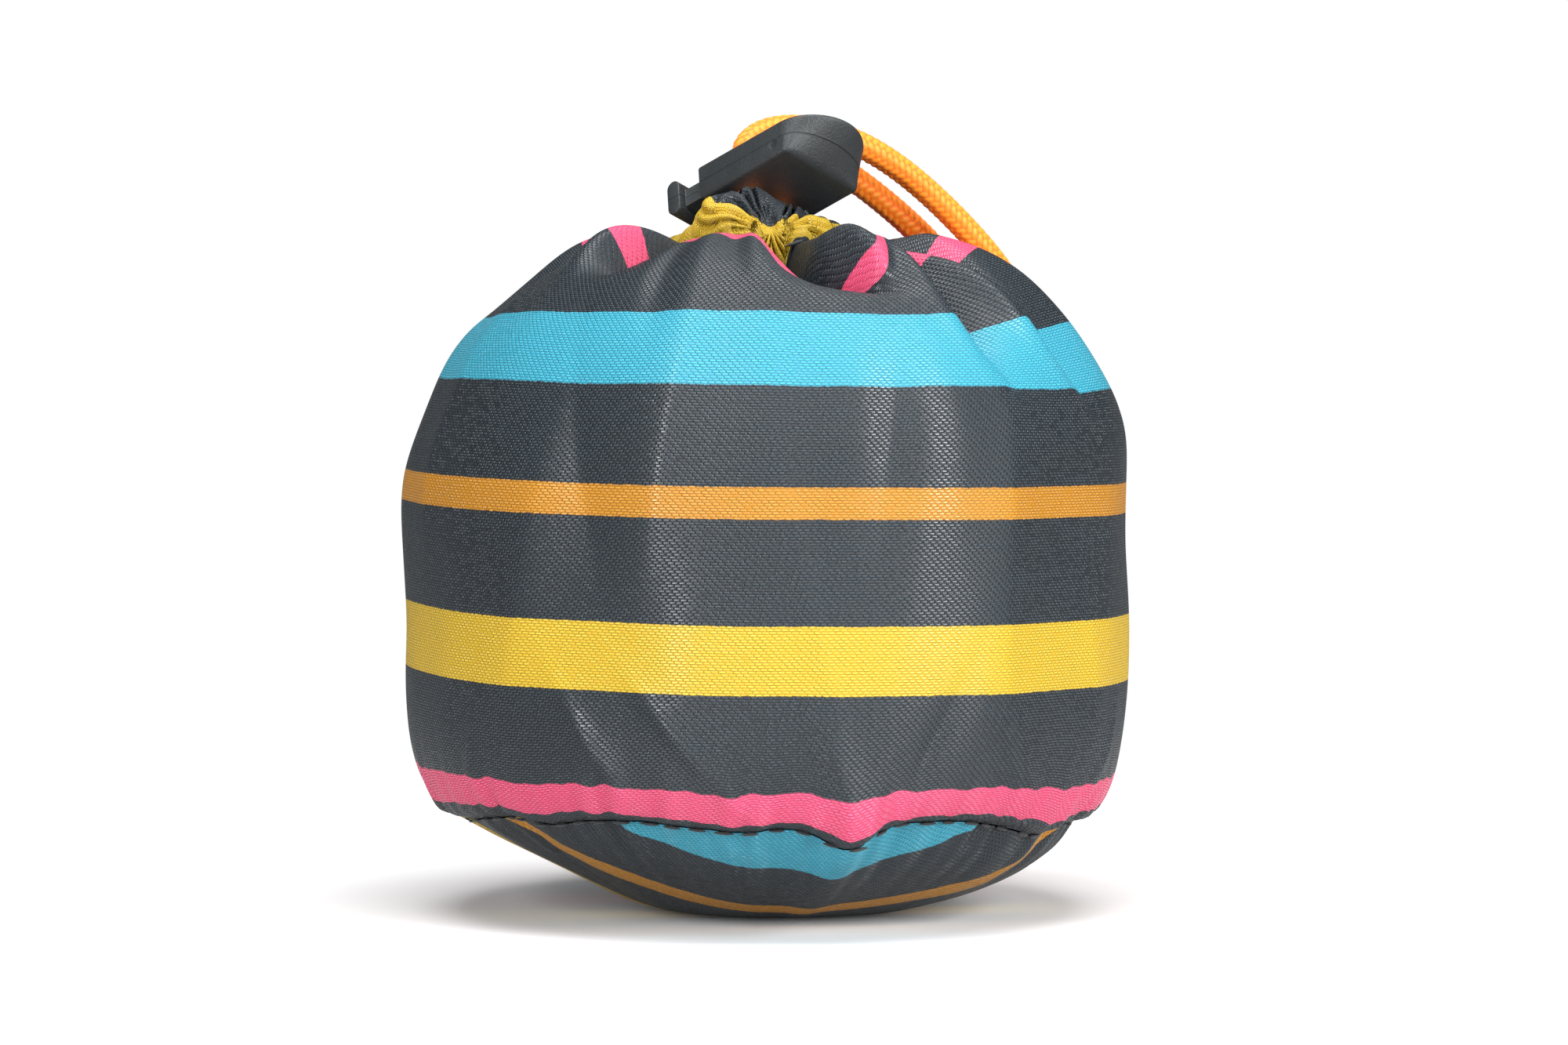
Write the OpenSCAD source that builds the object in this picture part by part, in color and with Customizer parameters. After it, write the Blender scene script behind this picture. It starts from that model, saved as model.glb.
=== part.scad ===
// Filled and cinched drawstring stuff sack with a spring cord lock on its drawcord.
// Millimetres, +Z up. The origin is the centre of the patch that the sack stands on, and -Y is its front.

/* [Sack] */
// Radius of the filled sack at its widest
sack_r = 54.3; // [50:0.1:62]
// Height at which the shoulder starts to round in
wall_top_z = 62; // [50:1:80]
// Rise of the shoulder from the wall to the neck
shoulder_rise = 40; // [34:1:50]
// Radius at which the side panel meets the gathered hem
neck_r = 14.6; // [14.2:0.1:16]
// Radius of the seam round the bottom
seam_r = 48; // [42:0.5:49]
// Height of the seam round the bottom
seam_z = 14; // [10:0.5:18]
// Height at which the side is fully bulged out
bulge_z = 40; // [34:1:48]
// Radius of the flat patch that the sack stands on
base_flat_r = 20; // [12:1:30]
// Thickness of the cloth wall
cloth_t = 0.6; // [0.4:0.1:0.8]
// Width of cloth turned in at the seams
seam_allowance = 5; // [3:0.5:8]

/* [Shoulder] */
// Fullness of the shoulder at the front: 2 is an ellipse, more is squarer and less is flatter
front_full = 2.9; // [1.8:0.05:3.1]
// Fullness of the shoulder at the right
right_full = 2; // [1.8:0.05:2.2]
// Fullness of the shoulder at the back
back_full = 2; // [1.8:0.05:2.2]
// Fullness of the shoulder at the left
left_full = 1.8; // [1.7:0.05:2.4]
// Drop of the shoulder into the gathered neck
neck_dip = 1.2; // [0.4:0.1:2]
// Depth of the deepest fold in the shoulder
fold_depth = 7.5; // [3:0.5:8]
// How far the cloth swells out between two folds
swell_rise = 0.8; // [0:0.1:1.2]
// Height of the filling's middle, to which the folds sink, above the place where the side is fully bulged out
filling_rise = 15; // [5:1:25]

/* [Sewing] */
// Diameter of a sewn line of thread
thread_d = 0.6; // [0.4:0.1:0.9]
// Gap between a line of thread and the cloth that it holds
thread_gap = 0.15; // [0.1:0.05:0.3]

/* [Drawcord] */
// Diameter of the drawcord
cord_d = 4; // [3:0.1:4.4]
// Radius of the cord loop when the mouth is cinched shut
loop_r = 11.5; // [11:0.1:12.5]
// Drop of the cord loop below the top of the shoulder
loop_drop = 3.5; // [3.2:0.1:5]
// Half of the angle at the front where the loop leaves its tunnel
loop_open_half = 32; // [28:1:38]
// Radius of the knot in the two ends
knot_r = 5.5; // [4.5:0.1:7]
// Length of each cord end beyond the knot
knot_tail_l = 9; // [4:0.5:16]

/* [Gathered hem] */
// Gap between the cord and the tunnel round it
tunnel_gap = 0.3; // [0.2:0.05:0.5]
// Number of small gathers round the mouth
gathers = 10; // [6:1:14]
// How far a small gather stands proud of the tunnel
gather_proud = 0.3; // [0.1:0.1:0.5]
// Radius of the two large puffs at the front
puff_r = 3.7; // [3.2:0.1:4]
// Height of the two large puffs above the cord loop
puff_lift = 1.8; // [0.5:0.1:2.5]
// Angle of each end of the hem from the front
hem_open_half = 40; // [38:1:48]

/* [Cord lock] */
// Place of the middle between the cord holes, right of the sack's axis
lock_x = -0.5; // [-3:0.1:3]
// Place of the middle between the cord holes, behind the sack's axis
lock_y = -4.1; // [-6:0.1:-3]
// Height of the middle between the cord holes above the cord loop
lock_rise = 9.7; // [9.5:0.1:12]
// Clearance all round a cord in its hole
hole_gap = 0.4; // [0.3:0.05:0.6]
// Wall between the two cord holes
hole_web = 1.6; // [1:0.1:3]
// Gap between a cord and the plunger's window at rest
grip_gap = 0.3; // [0.2:0.05:0.5]
// Travel of the plunger when it is pressed
press_travel = 2.5; // [1.5:0.1:3]
// Straight stretch of cord above the lock
cord_straight_l = 1; // [0.5:0.1:2]
// Running clearance between the plunger and the body
slide_gap = 0.2; // [0.15:0.05:0.3]
// Thickness of the rails at the sides of the plunger's window
rail_t = 1.1; // [0.8:0.1:2]
// Thickness of the bar that presses on the cords
bar_t = 2.4; // [1.5:0.1:4]
// Thickness of the plunger
plunger_t = 2.95; // [2.6:0.05:3.6]
// Visible length of the plunger's neck
neck_l = 4.1; // [3.4:0.1:6]
// Thickness of the plunger's head
head_t = 2.4; // [1.8:0.1:3.2]
// Thickness of the body's two flat faces
face_wall = 1.2; // [0.8:0.1:1.6]
// Thickness of the body's side walls
side_wall = 1.25; // [0.9:0.05:2]
// Rim between the open end and the plunger's window
end_land = 0.3; // [0.2:0.1:1]
// Depth of the body's rounded end
nose_depth = 6; // [4:0.1:8]
// Wall behind the spring in the rounded end
nose_wall = 5.95; // [5:0.05:8]

/* [Lock spring] */
// Length of the fitted spring
spring_l = 7.6; // [6.8:0.1:10]
// Diameter of the spring wire
wire_d = 0.45; // [0.3:0.05:0.6]
// Number of turns of the spring
spring_turns = 8; // [5:1:10]
// Gap at each end of the spring
spring_end_gap = 0.05; // [0.02:0.01:0.2]
// Clearance between the spring and the pilot inside it
pilot_gap = 0.25; // [0.15:0.05:0.4]
// Length of the pilot
pilot_l = 2; // [1:0.1:3]

/* [Hidden] */
$fn = 96;
// Overlap that makes two shapes of one piece fuse, and a cut run past its face
fuse = 0.1;

charcoal = "#3a3f45";
yellow = "#e0b83a";
orange = "#ff8413";
black = "#2b2f31";

// Profile of the bottom panel, as points of radius and height
dome_steps = 8;
dome_power = 1.3;
sack_top_z = wall_top_z + shoulder_rise;
function dome(raise) = [
    for (i = [0 : dome_steps])
        let (s = i / dome_steps)
        [base_flat_r + (seam_r - base_flat_r) * s, seam_z * pow(s, dome_power) + raise]
];
function backwards(list) = [for (i = [len(list) - 1 : -1 : 0]) list[i]];

// Folds of the shoulder: angle from the front on the wall and at the neck, share of the deepest fold's depth,
// and width to the left and to the right. Angles grow from the front to the right.
folds = [
    [-157, -158, 0.6, 7, 7], [-121, -118, 0.6, 7, 7], [-100, -97, 0.6, 7, 7], [-78, -74, 0.6, 7, 7],
    [-57, -55, 0.55, 6, 6], [-36, -38, 0.9, 5, 10], [22, 21, 1, 14, 5], [49, 35, 0.65, 6, 6],
    [86, 57, 0.7, 7, 7], [104, 92, 0.6, 6, 6], [131, 131, 0.5, 9, 7], [157, 158, 0.6, 7, 7]
];
// Lines of cloth from the bottom seam to the neck: a fold's left lip, its bottom, its right lip and the next
// ridge, each as its angle on the wall, its angle at the neck and its share of the depth
swell_share = -swell_rise / fold_depth;
columns = [
    for (i = [0 : len(folds) - 1])
        let (
            f = folds[i],
            next = i + 1 < len(folds) ? folds[i + 1] : folds[0] + [360, 360, 0, 0, 0],
            ridge = ([f[0], f[1]] + [next[0], next[1]] + [f[4] - next[3], f[4] - next[3]]) / 2
        )
        each [
            [f[0] - f[3], f[1] - f[3], 0], [f[0], f[1], f[2]], [f[0] + f[4], f[1] + f[4], 0],
            [ridge[0], ridge[1], swell_share]
        ]
];
// Rows of the cloth: angles of the bulge and of the shoulder, and how far the folds have opened on the latter
bulge_rows = [30, 60, 90];
shoulder_rows = [0, 20, 36, 50, 64, 77, 90];
fold_opening = [0, 0, 0.2, 0.6, 1, 0.85, 0];
filling_z = bulge_z + filling_rise;

function fullness(a) =
    let (lengthwise = cos(a) > 0 ? front_full : back_full, sideways = sin(a) > 0 ? right_full : left_full)
    pow(cos(a), 2) * lengthwise + pow(sin(a), 2) * sideways;
function bulge_point(a, inset) =
    [seam_r + (sack_r - seam_r) * sin(a) - inset, bulge_z - (bulge_z - seam_z) * cos(a)];
function shoulder_point(around, a) =
    let (power = 2 / fullness(around), out = pow(cos(a), power), up = pow(sin(a), power))
    [neck_r + (sack_r - neck_r) * out, wall_top_z + shoulder_rise * up - neck_dip * pow(1 - out, 3)];
function sunk(p, depth) =
    let (way = [-p[0], filling_z - p[1]])
    p + depth * way / norm(way);
function swept(column, row) =
    column[0] + (column[1] - column[0]) * shoulder_rows[row] / 90;
function shoulder_line(column, inset) = [
    for (i = [0 : len(shoulder_rows) - 1])
        let (a = swept(column, i), p = shoulder_point(a, shoulder_rows[i]))
        i + 1 < len(shoulder_rows)
            ? at_angle(sunk(p, column[2] * fold_depth * fold_opening[i] + inset), a)
            : at_angle(p - [0, inset], a)
];
function bulge_line(column, inset) = [
    for (a = bulge_rows)
        at_angle(bulge_point(a, inset), column[0])
];
function at_angle(p, a) = [p[0] * sin(a), -p[0] * cos(a), p[1]];

// The bottom seam turns both edges in, one above the other
seam_gap = 0.1;
flange_r = seam_r - seam_allowance;
// The flat facets of the side panel come this much closer to the axis than their corners
facet_room = 0.8;
side_flange_r = flange_r + facet_room;
side_flange_z = seam_z + seam_gap / 2;
base_flange_z = seam_z - seam_gap / 2 - cloth_t;

// The cord loop in its tunnel
cord_r = cord_d / 2;
loop_z = sack_top_z - loop_drop;
tunnel_r = cord_r + tunnel_gap;
hem_r = tunnel_r + cloth_t;
gather_r = hem_r + gather_proud;
// The puffs sit where the whole of each one is on the hem, just inside the neck
puff_inset = 16;
neck_gap = 0.1;
puff_at_r = neck_r - neck_gap - puff_r;
front_angle = -90;

// The lock's own frame: x runs to the rounded end, y across the two cords and z along them
lock_turn = [-24, -24, -36];
lock_at = [lock_x, lock_y, loop_z + lock_rise];
hole_d = cord_d + 2 * hole_gap;
hole_pitch = hole_d + hole_web;
window_w = hole_pitch + cord_d + 2 * grip_gap;
window_back = cord_r + grip_gap;
window_front = -(cord_r + grip_gap + press_travel);
plunger_w = window_w + 2 * rail_t;
plunger_back = window_back + bar_t;
mouth_x = window_front - end_land;
lock_w = plunger_w + 2 * slide_gap + 2 * side_wall;
lock_t = plunger_t + 2 * slide_gap + 2 * face_wall;
cavity_w = plunger_w + 2 * slide_gap;
cavity_t = plunger_t + 2 * slide_gap;
cavity_back = plunger_back + press_travel + grip_gap;
pocket_back = plunger_back + spring_l;
nose_x = pocket_back + nose_wall;
straight_end_x = nose_x - nose_depth;
nose_r = (pow(lock_w / 2, 2) + pow(nose_depth, 2)) / (2 * nose_depth);
head_x = mouth_x - neck_l - head_t;
spring_r = plunger_t / 2;
coil_r = spring_r - wire_d / 2;
pilot_r = spring_r - wire_d - pilot_gap;

function turned(p) =
    let (
        a = lock_turn,
        x1 = [p[0], p[1] * cos(a[0]) - p[2] * sin(a[0]), p[1] * sin(a[0]) + p[2] * cos(a[0])],
        y1 = [x1[0] * cos(a[1]) + x1[2] * sin(a[1]), x1[1], -x1[0] * sin(a[1]) + x1[2] * cos(a[1])]
    )
    [y1[0] * cos(a[2]) - y1[1] * sin(a[2]), y1[0] * sin(a[2]) + y1[1] * cos(a[2]), y1[2]];
function in_lock(p) = lock_at + turned(p);

// Places of a cord in its hole: below the body, on its upper face and at the end of the straight stretch
below_lock = 1.6;
function hole_bottom(side) = in_lock([0, side * hole_pitch / 2, -lock_t / 2 - below_lock]);
function hole_top(side) = in_lock([0, side * hole_pitch / 2, lock_t / 2]);
function straight_end(side) = in_lock([0, side * hole_pitch / 2, lock_t / 2 + cord_straight_l]);

// Routes of the cord, chosen by hand
left_riser = [[-2.3, -10.0, 103.0], [-2.7, -11.0, 101.0], [-4.1, -11.1, 99.2]];
right_riser = [[2.2, -6.4, 100.6], [2.6, -8.6, 98.9], [4.0, -10.2, 98.4]];
loop_steps = 26;
loop_path = [
    for (i = [0 : loop_steps])
        let (a = front_angle - loop_open_half - (360 - 2 * loop_open_half) * i / loop_steps)
        [loop_r * cos(a), loop_r * sin(a), loop_z]
];
left_route = [
    [-2.1, -1.6, 115.7], [0.6, 0.6, 117.5], [3.8, 1.8, 117.6], [7.2, 3.2, 117.3], [10.6, 5.0, 116.6],
    [14.0, 7.0, 115.5], [17.8, 9.2, 113.5], [21.4, 11.2, 111.0], [24.6, 13.0, 108.4], [27.8, 14.8, 105.5],
    [31.0, 16.6, 102.2], [34.2, 18.6, 98.8], [37.2, 21.2, 95.0], [39.4, 24.8, 91.0], [40.2, 29.6, 86.4],
    [39.4, 35.0, 80.4], [37.4, 41.0, 73.0], [34.4, 45.4, 64.0], [31.4, 47.6, 54.0], [28.8, 49.2, 44.0],
    [26.4, 50.4, 34.0], [23.8, 51.4, 24.0], [20.4, 53.0, 15.4], [15.8, 55.0, 8.6], [9.8, 57.0, 4.4],
    [3.4, 58.0, 2.6], [-2.4, 58.2, 3.0], [-7.0, 58.2, 4.2]
];
right_route = [
    [1.8, 3.0, 113.2], [3.4, 6.6, 114.8], [5.6, 9.6, 114.4], [9.0, 12.2, 113.0], [12.8, 14.4, 110.8],
    [16.2, 16.2, 108.4], [19.4, 18.0, 105.8], [22.4, 20.0, 103.2], [25.2, 22.4, 100.6], [27.8, 25.4, 97.8],
    [29.8, 29.4, 94.6], [30.6, 34.4, 90.6], [30.2, 40.4, 85.0], [28.8, 46.2, 77.0], [26.8, 50.0, 68.0],
    [24.4, 51.6, 58.0], [22.2, 52.4, 48.0], [20.2, 53.2, 38.0], [18.0, 54.0, 28.0], [15.4, 55.4, 19.0],
    [11.6, 58.0, 11.6], [6.6, 60.8, 6.6], [1.0, 62.6, 4.0], [-3.6, 62.8, 3.8], [-7.0, 62.6, 4.6]
];
// Place of the knot, in line with the last stretch of the two strands
knot_at = [-10.5, 60.4, knot_r];
tail_spread = 26;
tail_rest = 0.1;
tail_drop = asin((knot_r - cord_r - tail_rest) / (knot_r + knot_tail_l));

// A round tube along a list of points
cord_sides = 10;
function unit(v) = v / norm(v);
function heading(path, i) = unit(path[min(i + 1, len(path) - 1)] - path[max(i - 1, 0)]);
function square_to(n, t) = unit(n - (n * t) * t);
function normals(path, first) = [
    for (i = 0, n = square_to(first, heading(path, 0)); i < len(path);
         i = i + 1, n = square_to(n, heading(path, min(i, len(path) - 1)))) n
];
module tube(path, r, sides, first = [0.3, 1, 0.2]) {
    last = len(path) - 1;
    side_of = normals(path, first);
    points = [
        for (i = [0 : last])
            let (t = heading(path, i), n = side_of[i], b = cross(t, n))
            for (k = [0 : sides - 1])
                let (a = 360 * k / sides)
                path[i] + r * (cos(a) * n + sin(a) * b)
    ];
    walls = [
        for (i = [0 : last - 1])
            for (k = [0 : sides - 1])
                let (a = i * sides + k, b = i * sides + (k + 1) % sides)
                each [[a, a + sides, b + sides], [a, b + sides, b]]
    ];
    caps = [
        for (k = [1 : sides - 2])
            each [[0, k, k + 1], [last * sides, last * sides + k + 1, last * sides + k]]
    ];
    polyhedron(points, concat(walls, caps));
}

module in_lock_frame() {
    translate(lock_at)
        rotate(lock_turn)
            children();
}

// Tube of cloth, folded into the neck at the top and turned in at the bottom
module side_panel() {
    lines = [
        for (c = columns)
            concat(
                [at_angle([seam_r, side_flange_z], c[0])],
                bulge_line(c, 0), shoulder_line(c, 0),
                backwards(concat(bulge_line(c, cloth_t), shoulder_line(c, cloth_t))),
                [at_angle([seam_r - cloth_t, side_flange_z + cloth_t], c[0])],
                [at_angle([side_flange_r, side_flange_z + cloth_t], c[0])],
                [at_angle([side_flange_r, side_flange_z], c[0])]
            )
    ];
    count = len(lines);
    size = len(lines[0]);
    faces = [
        for (i = [0 : count - 1])
            for (k = [0 : size - 1])
                let (
                    a = i * size + k, b = i * size + (k + 1) % size,
                    c = (i + 1) % count * size + (k + 1) % size, d = (i + 1) % count * size + k
                )
                each [[a, b, c], [a, c, d]]
    ];
    color(charcoal)
        polyhedron([for (line = lines) each line], faces);
}

// Disc of cloth, bulged down by what the sack holds and flat where it stands
module bottom_panel() {
    color(charcoal) {
        rotate_extrude()
            polygon(concat(
                [[0, 0]], dome(0), [[seam_r, base_flange_z + cloth_t], [flange_r, base_flange_z + cloth_t]],
                [[flange_r, base_flange_z]], backwards(slice_below(dome(cloth_t), base_flange_z)),
                [[0, cloth_t]]
            ));
    }
}
// Points of a profile that lie below a height, with the point where it reaches that height
function slice_below(list, z) = concat(
    [for (p = list) if (p[1] < z - fuse) p],
    [[base_flat_r + (seam_r - base_flat_r) * pow((z - cloth_t) / seam_z, 1 / dome_power), z]]
);

// Top of the tube, folded over the cord and gathered into puffs
module channel_hem() {
    sweep = 360 - 2 * hem_open_half;
    color(yellow)
        difference() {
            union() {
                rotate([0, 0, front_angle + hem_open_half])
                    rotate_extrude(angle = sweep)
                        translate([loop_r, loop_z])
                            circle(hem_r);
                for (i = [1 : gathers - 2])
                    rotate([0, 0, front_angle + hem_open_half + sweep * i / (gathers - 1)])
                        translate([loop_r, 0, loop_z])
                            sphere(gather_r);
                for (end = [-1, 1])
                    rotate([0, 0, front_angle + end * (hem_open_half + puff_inset)])
                        translate([puff_at_r, 0, loop_z + puff_lift])
                            sphere(puff_r);
            }
            rotate_extrude()
                translate([loop_r, loop_z])
                    circle(tunnel_r);
        }
}

// Sewing down the back, inside the tube and along the ridge between its two rearmost folds
module side_seam_thread() {
    inset = cloth_t + thread_gap + thread_d / 2;
    ridge = [180, 180, swell_share];
    climb = concat(bulge_line(ridge, inset), shoulder_line(ridge, inset));
    color("black")
        tube([for (i = [0 : len(climb) - 3]) climb[i]], thread_d / 2, 6, [1, 0, 0]);
}

// Overlock sewing round the turned-in edges of the bottom seam
module bottom_seam_thread() {
    color("black")
        rotate_extrude()
            translate([flange_r - thread_gap - thread_d / 2, seam_z])
                circle(thread_d / 2);
}

// Sewing under the tunnel that holds the cord
module channel_thread() {
    away = gather_r + thread_gap + thread_d / 2;
    below = 16;
    sweep = 360 - 2 * hem_open_half;
    color("black")
        rotate([0, 0, front_angle + hem_open_half])
            rotate_extrude(angle = sweep)
                translate([loop_r + away * cos(below), loop_z - away * sin(below)])
                    circle(thread_d / 2);
}

// Cord in the tunnel, with both ends rising through the lock to its upper face
module drawcord_loop() {
    color(orange)
        tube(concat(
            [hole_top(-1), hole_bottom(-1)], left_riser, loop_path, backwards(right_riser),
            [hole_bottom(1), hole_top(1)]
        ), cord_r, cord_sides);
}

// Free cord from the left hole, over the shoulder and down the back to the knot
module drawcord_left_strand() {
    color(orange)
        tube(concat([hole_top(-1), straight_end(-1)], left_route), cord_r, cord_sides);
}

// Free cord from the right hole, beside the other one
module drawcord_right_strand() {
    color(orange)
        tube(concat([hole_top(1), straight_end(1)], right_route), cord_r, cord_sides);
}

// Overhand knot in both strands, lying on the floor behind the sack
module drawcord_knot() {
    color(orange)
        translate(knot_at) {
            sphere(knot_r);
            for (side = [-1, 1])
                rotate([0, 0, 180 + side * tail_spread])
                    rotate([0, 90 + tail_drop, 0])
                        cylinder(h = knot_r + knot_tail_l, r = cord_r);
        }
}

// Outline of the lock's body: straight sides and one rounded end
module lock_outline() {
    translate([mouth_x, -lock_w / 2])
        square([straight_end_x - mouth_x + fuse, lock_w]);
    intersection() {
        translate([nose_x - nose_r, 0])
            circle(nose_r);
        translate([straight_end_x, -lock_w / 2])
            square([nose_depth + fuse, lock_w]);
    }
}

// Wedge that makes the rounded end lean back from its upper face to where the lower face stops
module nose_lean() {
    low = [straight_end_x, -lock_t / 2];
    high = [nose_x, lock_t / 2];
    past = 0.05 * (high - low);
    rotate([90, 0, 0])
        linear_extrude(lock_w + 2 * fuse, center = true)
            polygon([low - past, high + past, [high[0] + past[0], low[1] - past[1]]]);
}

// Flat housing with two cord holes, a cavity for the plunger and a pocket for the spring
module cord_lock_body() {
    color(black)
        in_lock_frame()
            difference() {
                translate([0, 0, -lock_t / 2])
                    linear_extrude(lock_t)
                        lock_outline();
                translate([mouth_x - fuse, -cavity_w / 2, -cavity_t / 2])
                    cube([cavity_back - mouth_x + fuse, cavity_w, cavity_t]);
                translate([cavity_back - fuse, 0, 0])
                    rotate([0, 90, 0])
                        cylinder(h = pocket_back - cavity_back + fuse, r = spring_r + slide_gap);
                for (side = [-1, 1])
                    translate([0, side * hole_pitch / 2, -lock_t / 2 - fuse])
                        cylinder(h = lock_t + 2 * fuse, r = hole_d / 2);
                nose_lean();
            }
}

// Sliding tongue with a window for the cords, a head to press and a pilot for the spring
module cord_lock_plunger() {
    color(black)
        in_lock_frame() {
            difference() {
                translate([head_x + head_t / 2, -plunger_w / 2, -plunger_t / 2])
                    cube([plunger_back - head_x - head_t / 2, plunger_w, plunger_t]);
                translate([window_front, -window_w / 2, -plunger_t / 2 - fuse])
                    cube([window_back - window_front, window_w, plunger_t + 2 * fuse]);
            }
            translate([plunger_back - fuse, 0, 0])
                rotate([0, 90, 0])
                    cylinder(h = pilot_l + fuse, r = pilot_r);
            translate([head_x + head_t / 2, lock_w / 2, 0])
                rotate([90, 0, 0])
                    linear_extrude(lock_w)
                        head_profile();
        }
}
module head_profile() {
    reach = lock_t / 2 - head_t / 2;
    square([head_t, 2 * reach], center = true);
    for (end = [-1, 1])
        translate([0, end * reach])
            circle(head_t / 2);
}

// Coil spring between the plunger's bar and the end of its pocket
module cord_lock_spring() {
    rings = 10;
    wire_sides = 6;
    start = plunger_back + spring_end_gap + wire_d / 2;
    run = spring_l - 2 * spring_end_gap - wire_d;
    helix = [
        for (i = [0 : rings * spring_turns])
            let (a = 360 * i / rings)
            [start + run * i / (rings * spring_turns), coil_r * cos(a), coil_r * sin(a)]
    ];
    color("silver")
        in_lock_frame()
            tube(helix, wire_d / 2, wire_sides, [1, 0, 0]);
}

side_panel();
bottom_panel();
channel_hem();
side_seam_thread();
bottom_seam_thread();
channel_thread();
drawcord_loop();
drawcord_left_strand();
drawcord_right_strand();
drawcord_knot();
cord_lock_body();
cord_lock_plunger();
cord_lock_spring();
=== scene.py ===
import math

import bmesh
import bpy
import numpy as np
from mathutils import Euler, Matrix, Vector


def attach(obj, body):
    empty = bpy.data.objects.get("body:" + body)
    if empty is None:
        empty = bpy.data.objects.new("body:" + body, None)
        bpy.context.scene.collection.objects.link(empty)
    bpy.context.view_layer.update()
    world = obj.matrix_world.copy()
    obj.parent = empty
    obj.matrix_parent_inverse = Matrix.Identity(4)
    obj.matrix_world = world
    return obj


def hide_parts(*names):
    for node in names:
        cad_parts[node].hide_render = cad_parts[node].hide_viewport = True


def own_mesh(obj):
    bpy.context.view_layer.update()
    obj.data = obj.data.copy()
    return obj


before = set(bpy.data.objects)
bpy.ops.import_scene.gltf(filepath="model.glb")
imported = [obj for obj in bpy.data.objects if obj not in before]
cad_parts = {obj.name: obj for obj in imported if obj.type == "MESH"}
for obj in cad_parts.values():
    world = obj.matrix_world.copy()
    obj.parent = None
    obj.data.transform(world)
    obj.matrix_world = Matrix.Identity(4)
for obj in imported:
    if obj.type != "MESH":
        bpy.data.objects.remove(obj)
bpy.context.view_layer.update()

# The photograph's view. A long lens stands 0.8 m in front of the sack, a little above its middle,
# and looks slightly down, so the stripes dip in the middle.
PHOTO_W = 2000
SENSOR_W = 36.0
FOCAL_PX = 6800
CAMERA_AT = Vector((0.00294, -0.8, 0.091))
CAMERA_AIM = Vector((0.00294, 0.0, 0.0583))
camera_data = bpy.data.cameras.new("camera")
camera_data.sensor_width = SENSOR_W
camera_data.lens = FOCAL_PX * SENSOR_W / PHOTO_W
camera = bpy.data.objects.new("camera", camera_data)
bpy.context.scene.collection.objects.link(camera)
camera.location = CAMERA_AT
camera.rotation_euler = (CAMERA_AIM - CAMERA_AT).to_track_quat("-Z", "Y").to_euler()
bpy.context.scene.camera = camera


# Drawcord. One round polyester cord, braided over a core: it leaves the lock's upper face as two strands,
# arches over the shoulder, runs down the back and ends in an overhand knot that ties both ends.
CORD_D = 0.004
CORD_R = CORD_D / 2
# Where the lock sits on it: the point between its two cord holes, its turn, its thickness and their pitch
LOCK_AT = Vector((-0.0005, -0.0041, 0.1082))
LOCK_TURN = Euler([math.radians(a) for a in (-24, -24, -36)], "XYZ").to_matrix()
LOCK_T = 0.00575
HOLE_PITCH = 0.0064


def in_lock(x, y, z):
    """A point of the lock's own frame, in the sack's frame."""
    return LOCK_AT + LOCK_TURN @ Vector((x, y, z))


def through_hole(side, z):
    return in_lock(0, side * HOLE_PITCH / 2, z)


# Courses of the two strands, from above the lock to the knot
LEFT_ROUTE_MM = [
    (-2.1, -1.6, 115.7), (0.6, 0.6, 117.5), (3.8, 1.8, 117.6), (7.2, 3.2, 117.3), (10.6, 5.0, 116.6),
    (14.0, 7.0, 115.5), (17.8, 9.2, 113.5), (21.4, 11.2, 111.0), (24.6, 13.0, 108.4), (27.8, 14.8, 105.5),
    (31.0, 16.6, 102.2), (34.2, 18.6, 98.8), (37.2, 21.2, 95.0), (39.4, 24.8, 91.0), (40.2, 29.6, 86.4),
    (39.4, 35.0, 80.4), (37.4, 41.0, 73.0), (34.4, 45.4, 64.0), (31.4, 47.6, 54.0), (28.8, 49.2, 44.0),
    (26.4, 50.4, 34.0), (23.8, 51.4, 24.0), (20.4, 53.0, 15.4), (15.8, 55.0, 8.6), (9.8, 57.0, 4.4),
    (3.4, 58.0, 2.6), (-2.4, 58.2, 3.0), (-7.0, 58.2, 4.2),
]
RIGHT_ROUTE_MM = [
    (1.8, 3.0, 113.2), (3.4, 6.6, 114.8), (5.6, 9.6, 114.4), (9.0, 12.2, 113.0), (12.8, 14.4, 110.8),
    (16.2, 16.2, 108.4), (19.4, 18.0, 105.8), (22.4, 20.0, 103.2), (25.2, 22.4, 100.6), (27.8, 25.4, 97.8),
    (29.8, 29.4, 94.6), (30.6, 34.4, 90.6), (30.2, 40.4, 85.0), (28.8, 46.2, 77.0), (26.8, 50.0, 68.0),
    (24.4, 51.6, 58.0), (22.2, 52.4, 48.0), (20.2, 53.2, 38.0), (18.0, 54.0, 28.0), (15.4, 55.4, 19.0),
    (11.6, 58.0, 11.6), (6.6, 60.8, 6.6), (1.0, 62.6, 4.0), (-3.6, 62.8, 3.8), (-7.0, 62.6, 4.6),
]
CORD_STEP = 0.00026
CORNER_CUTS = 4


def metres(points_mm):
    return [np.array(p) / 1000 for p in points_mm]


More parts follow.
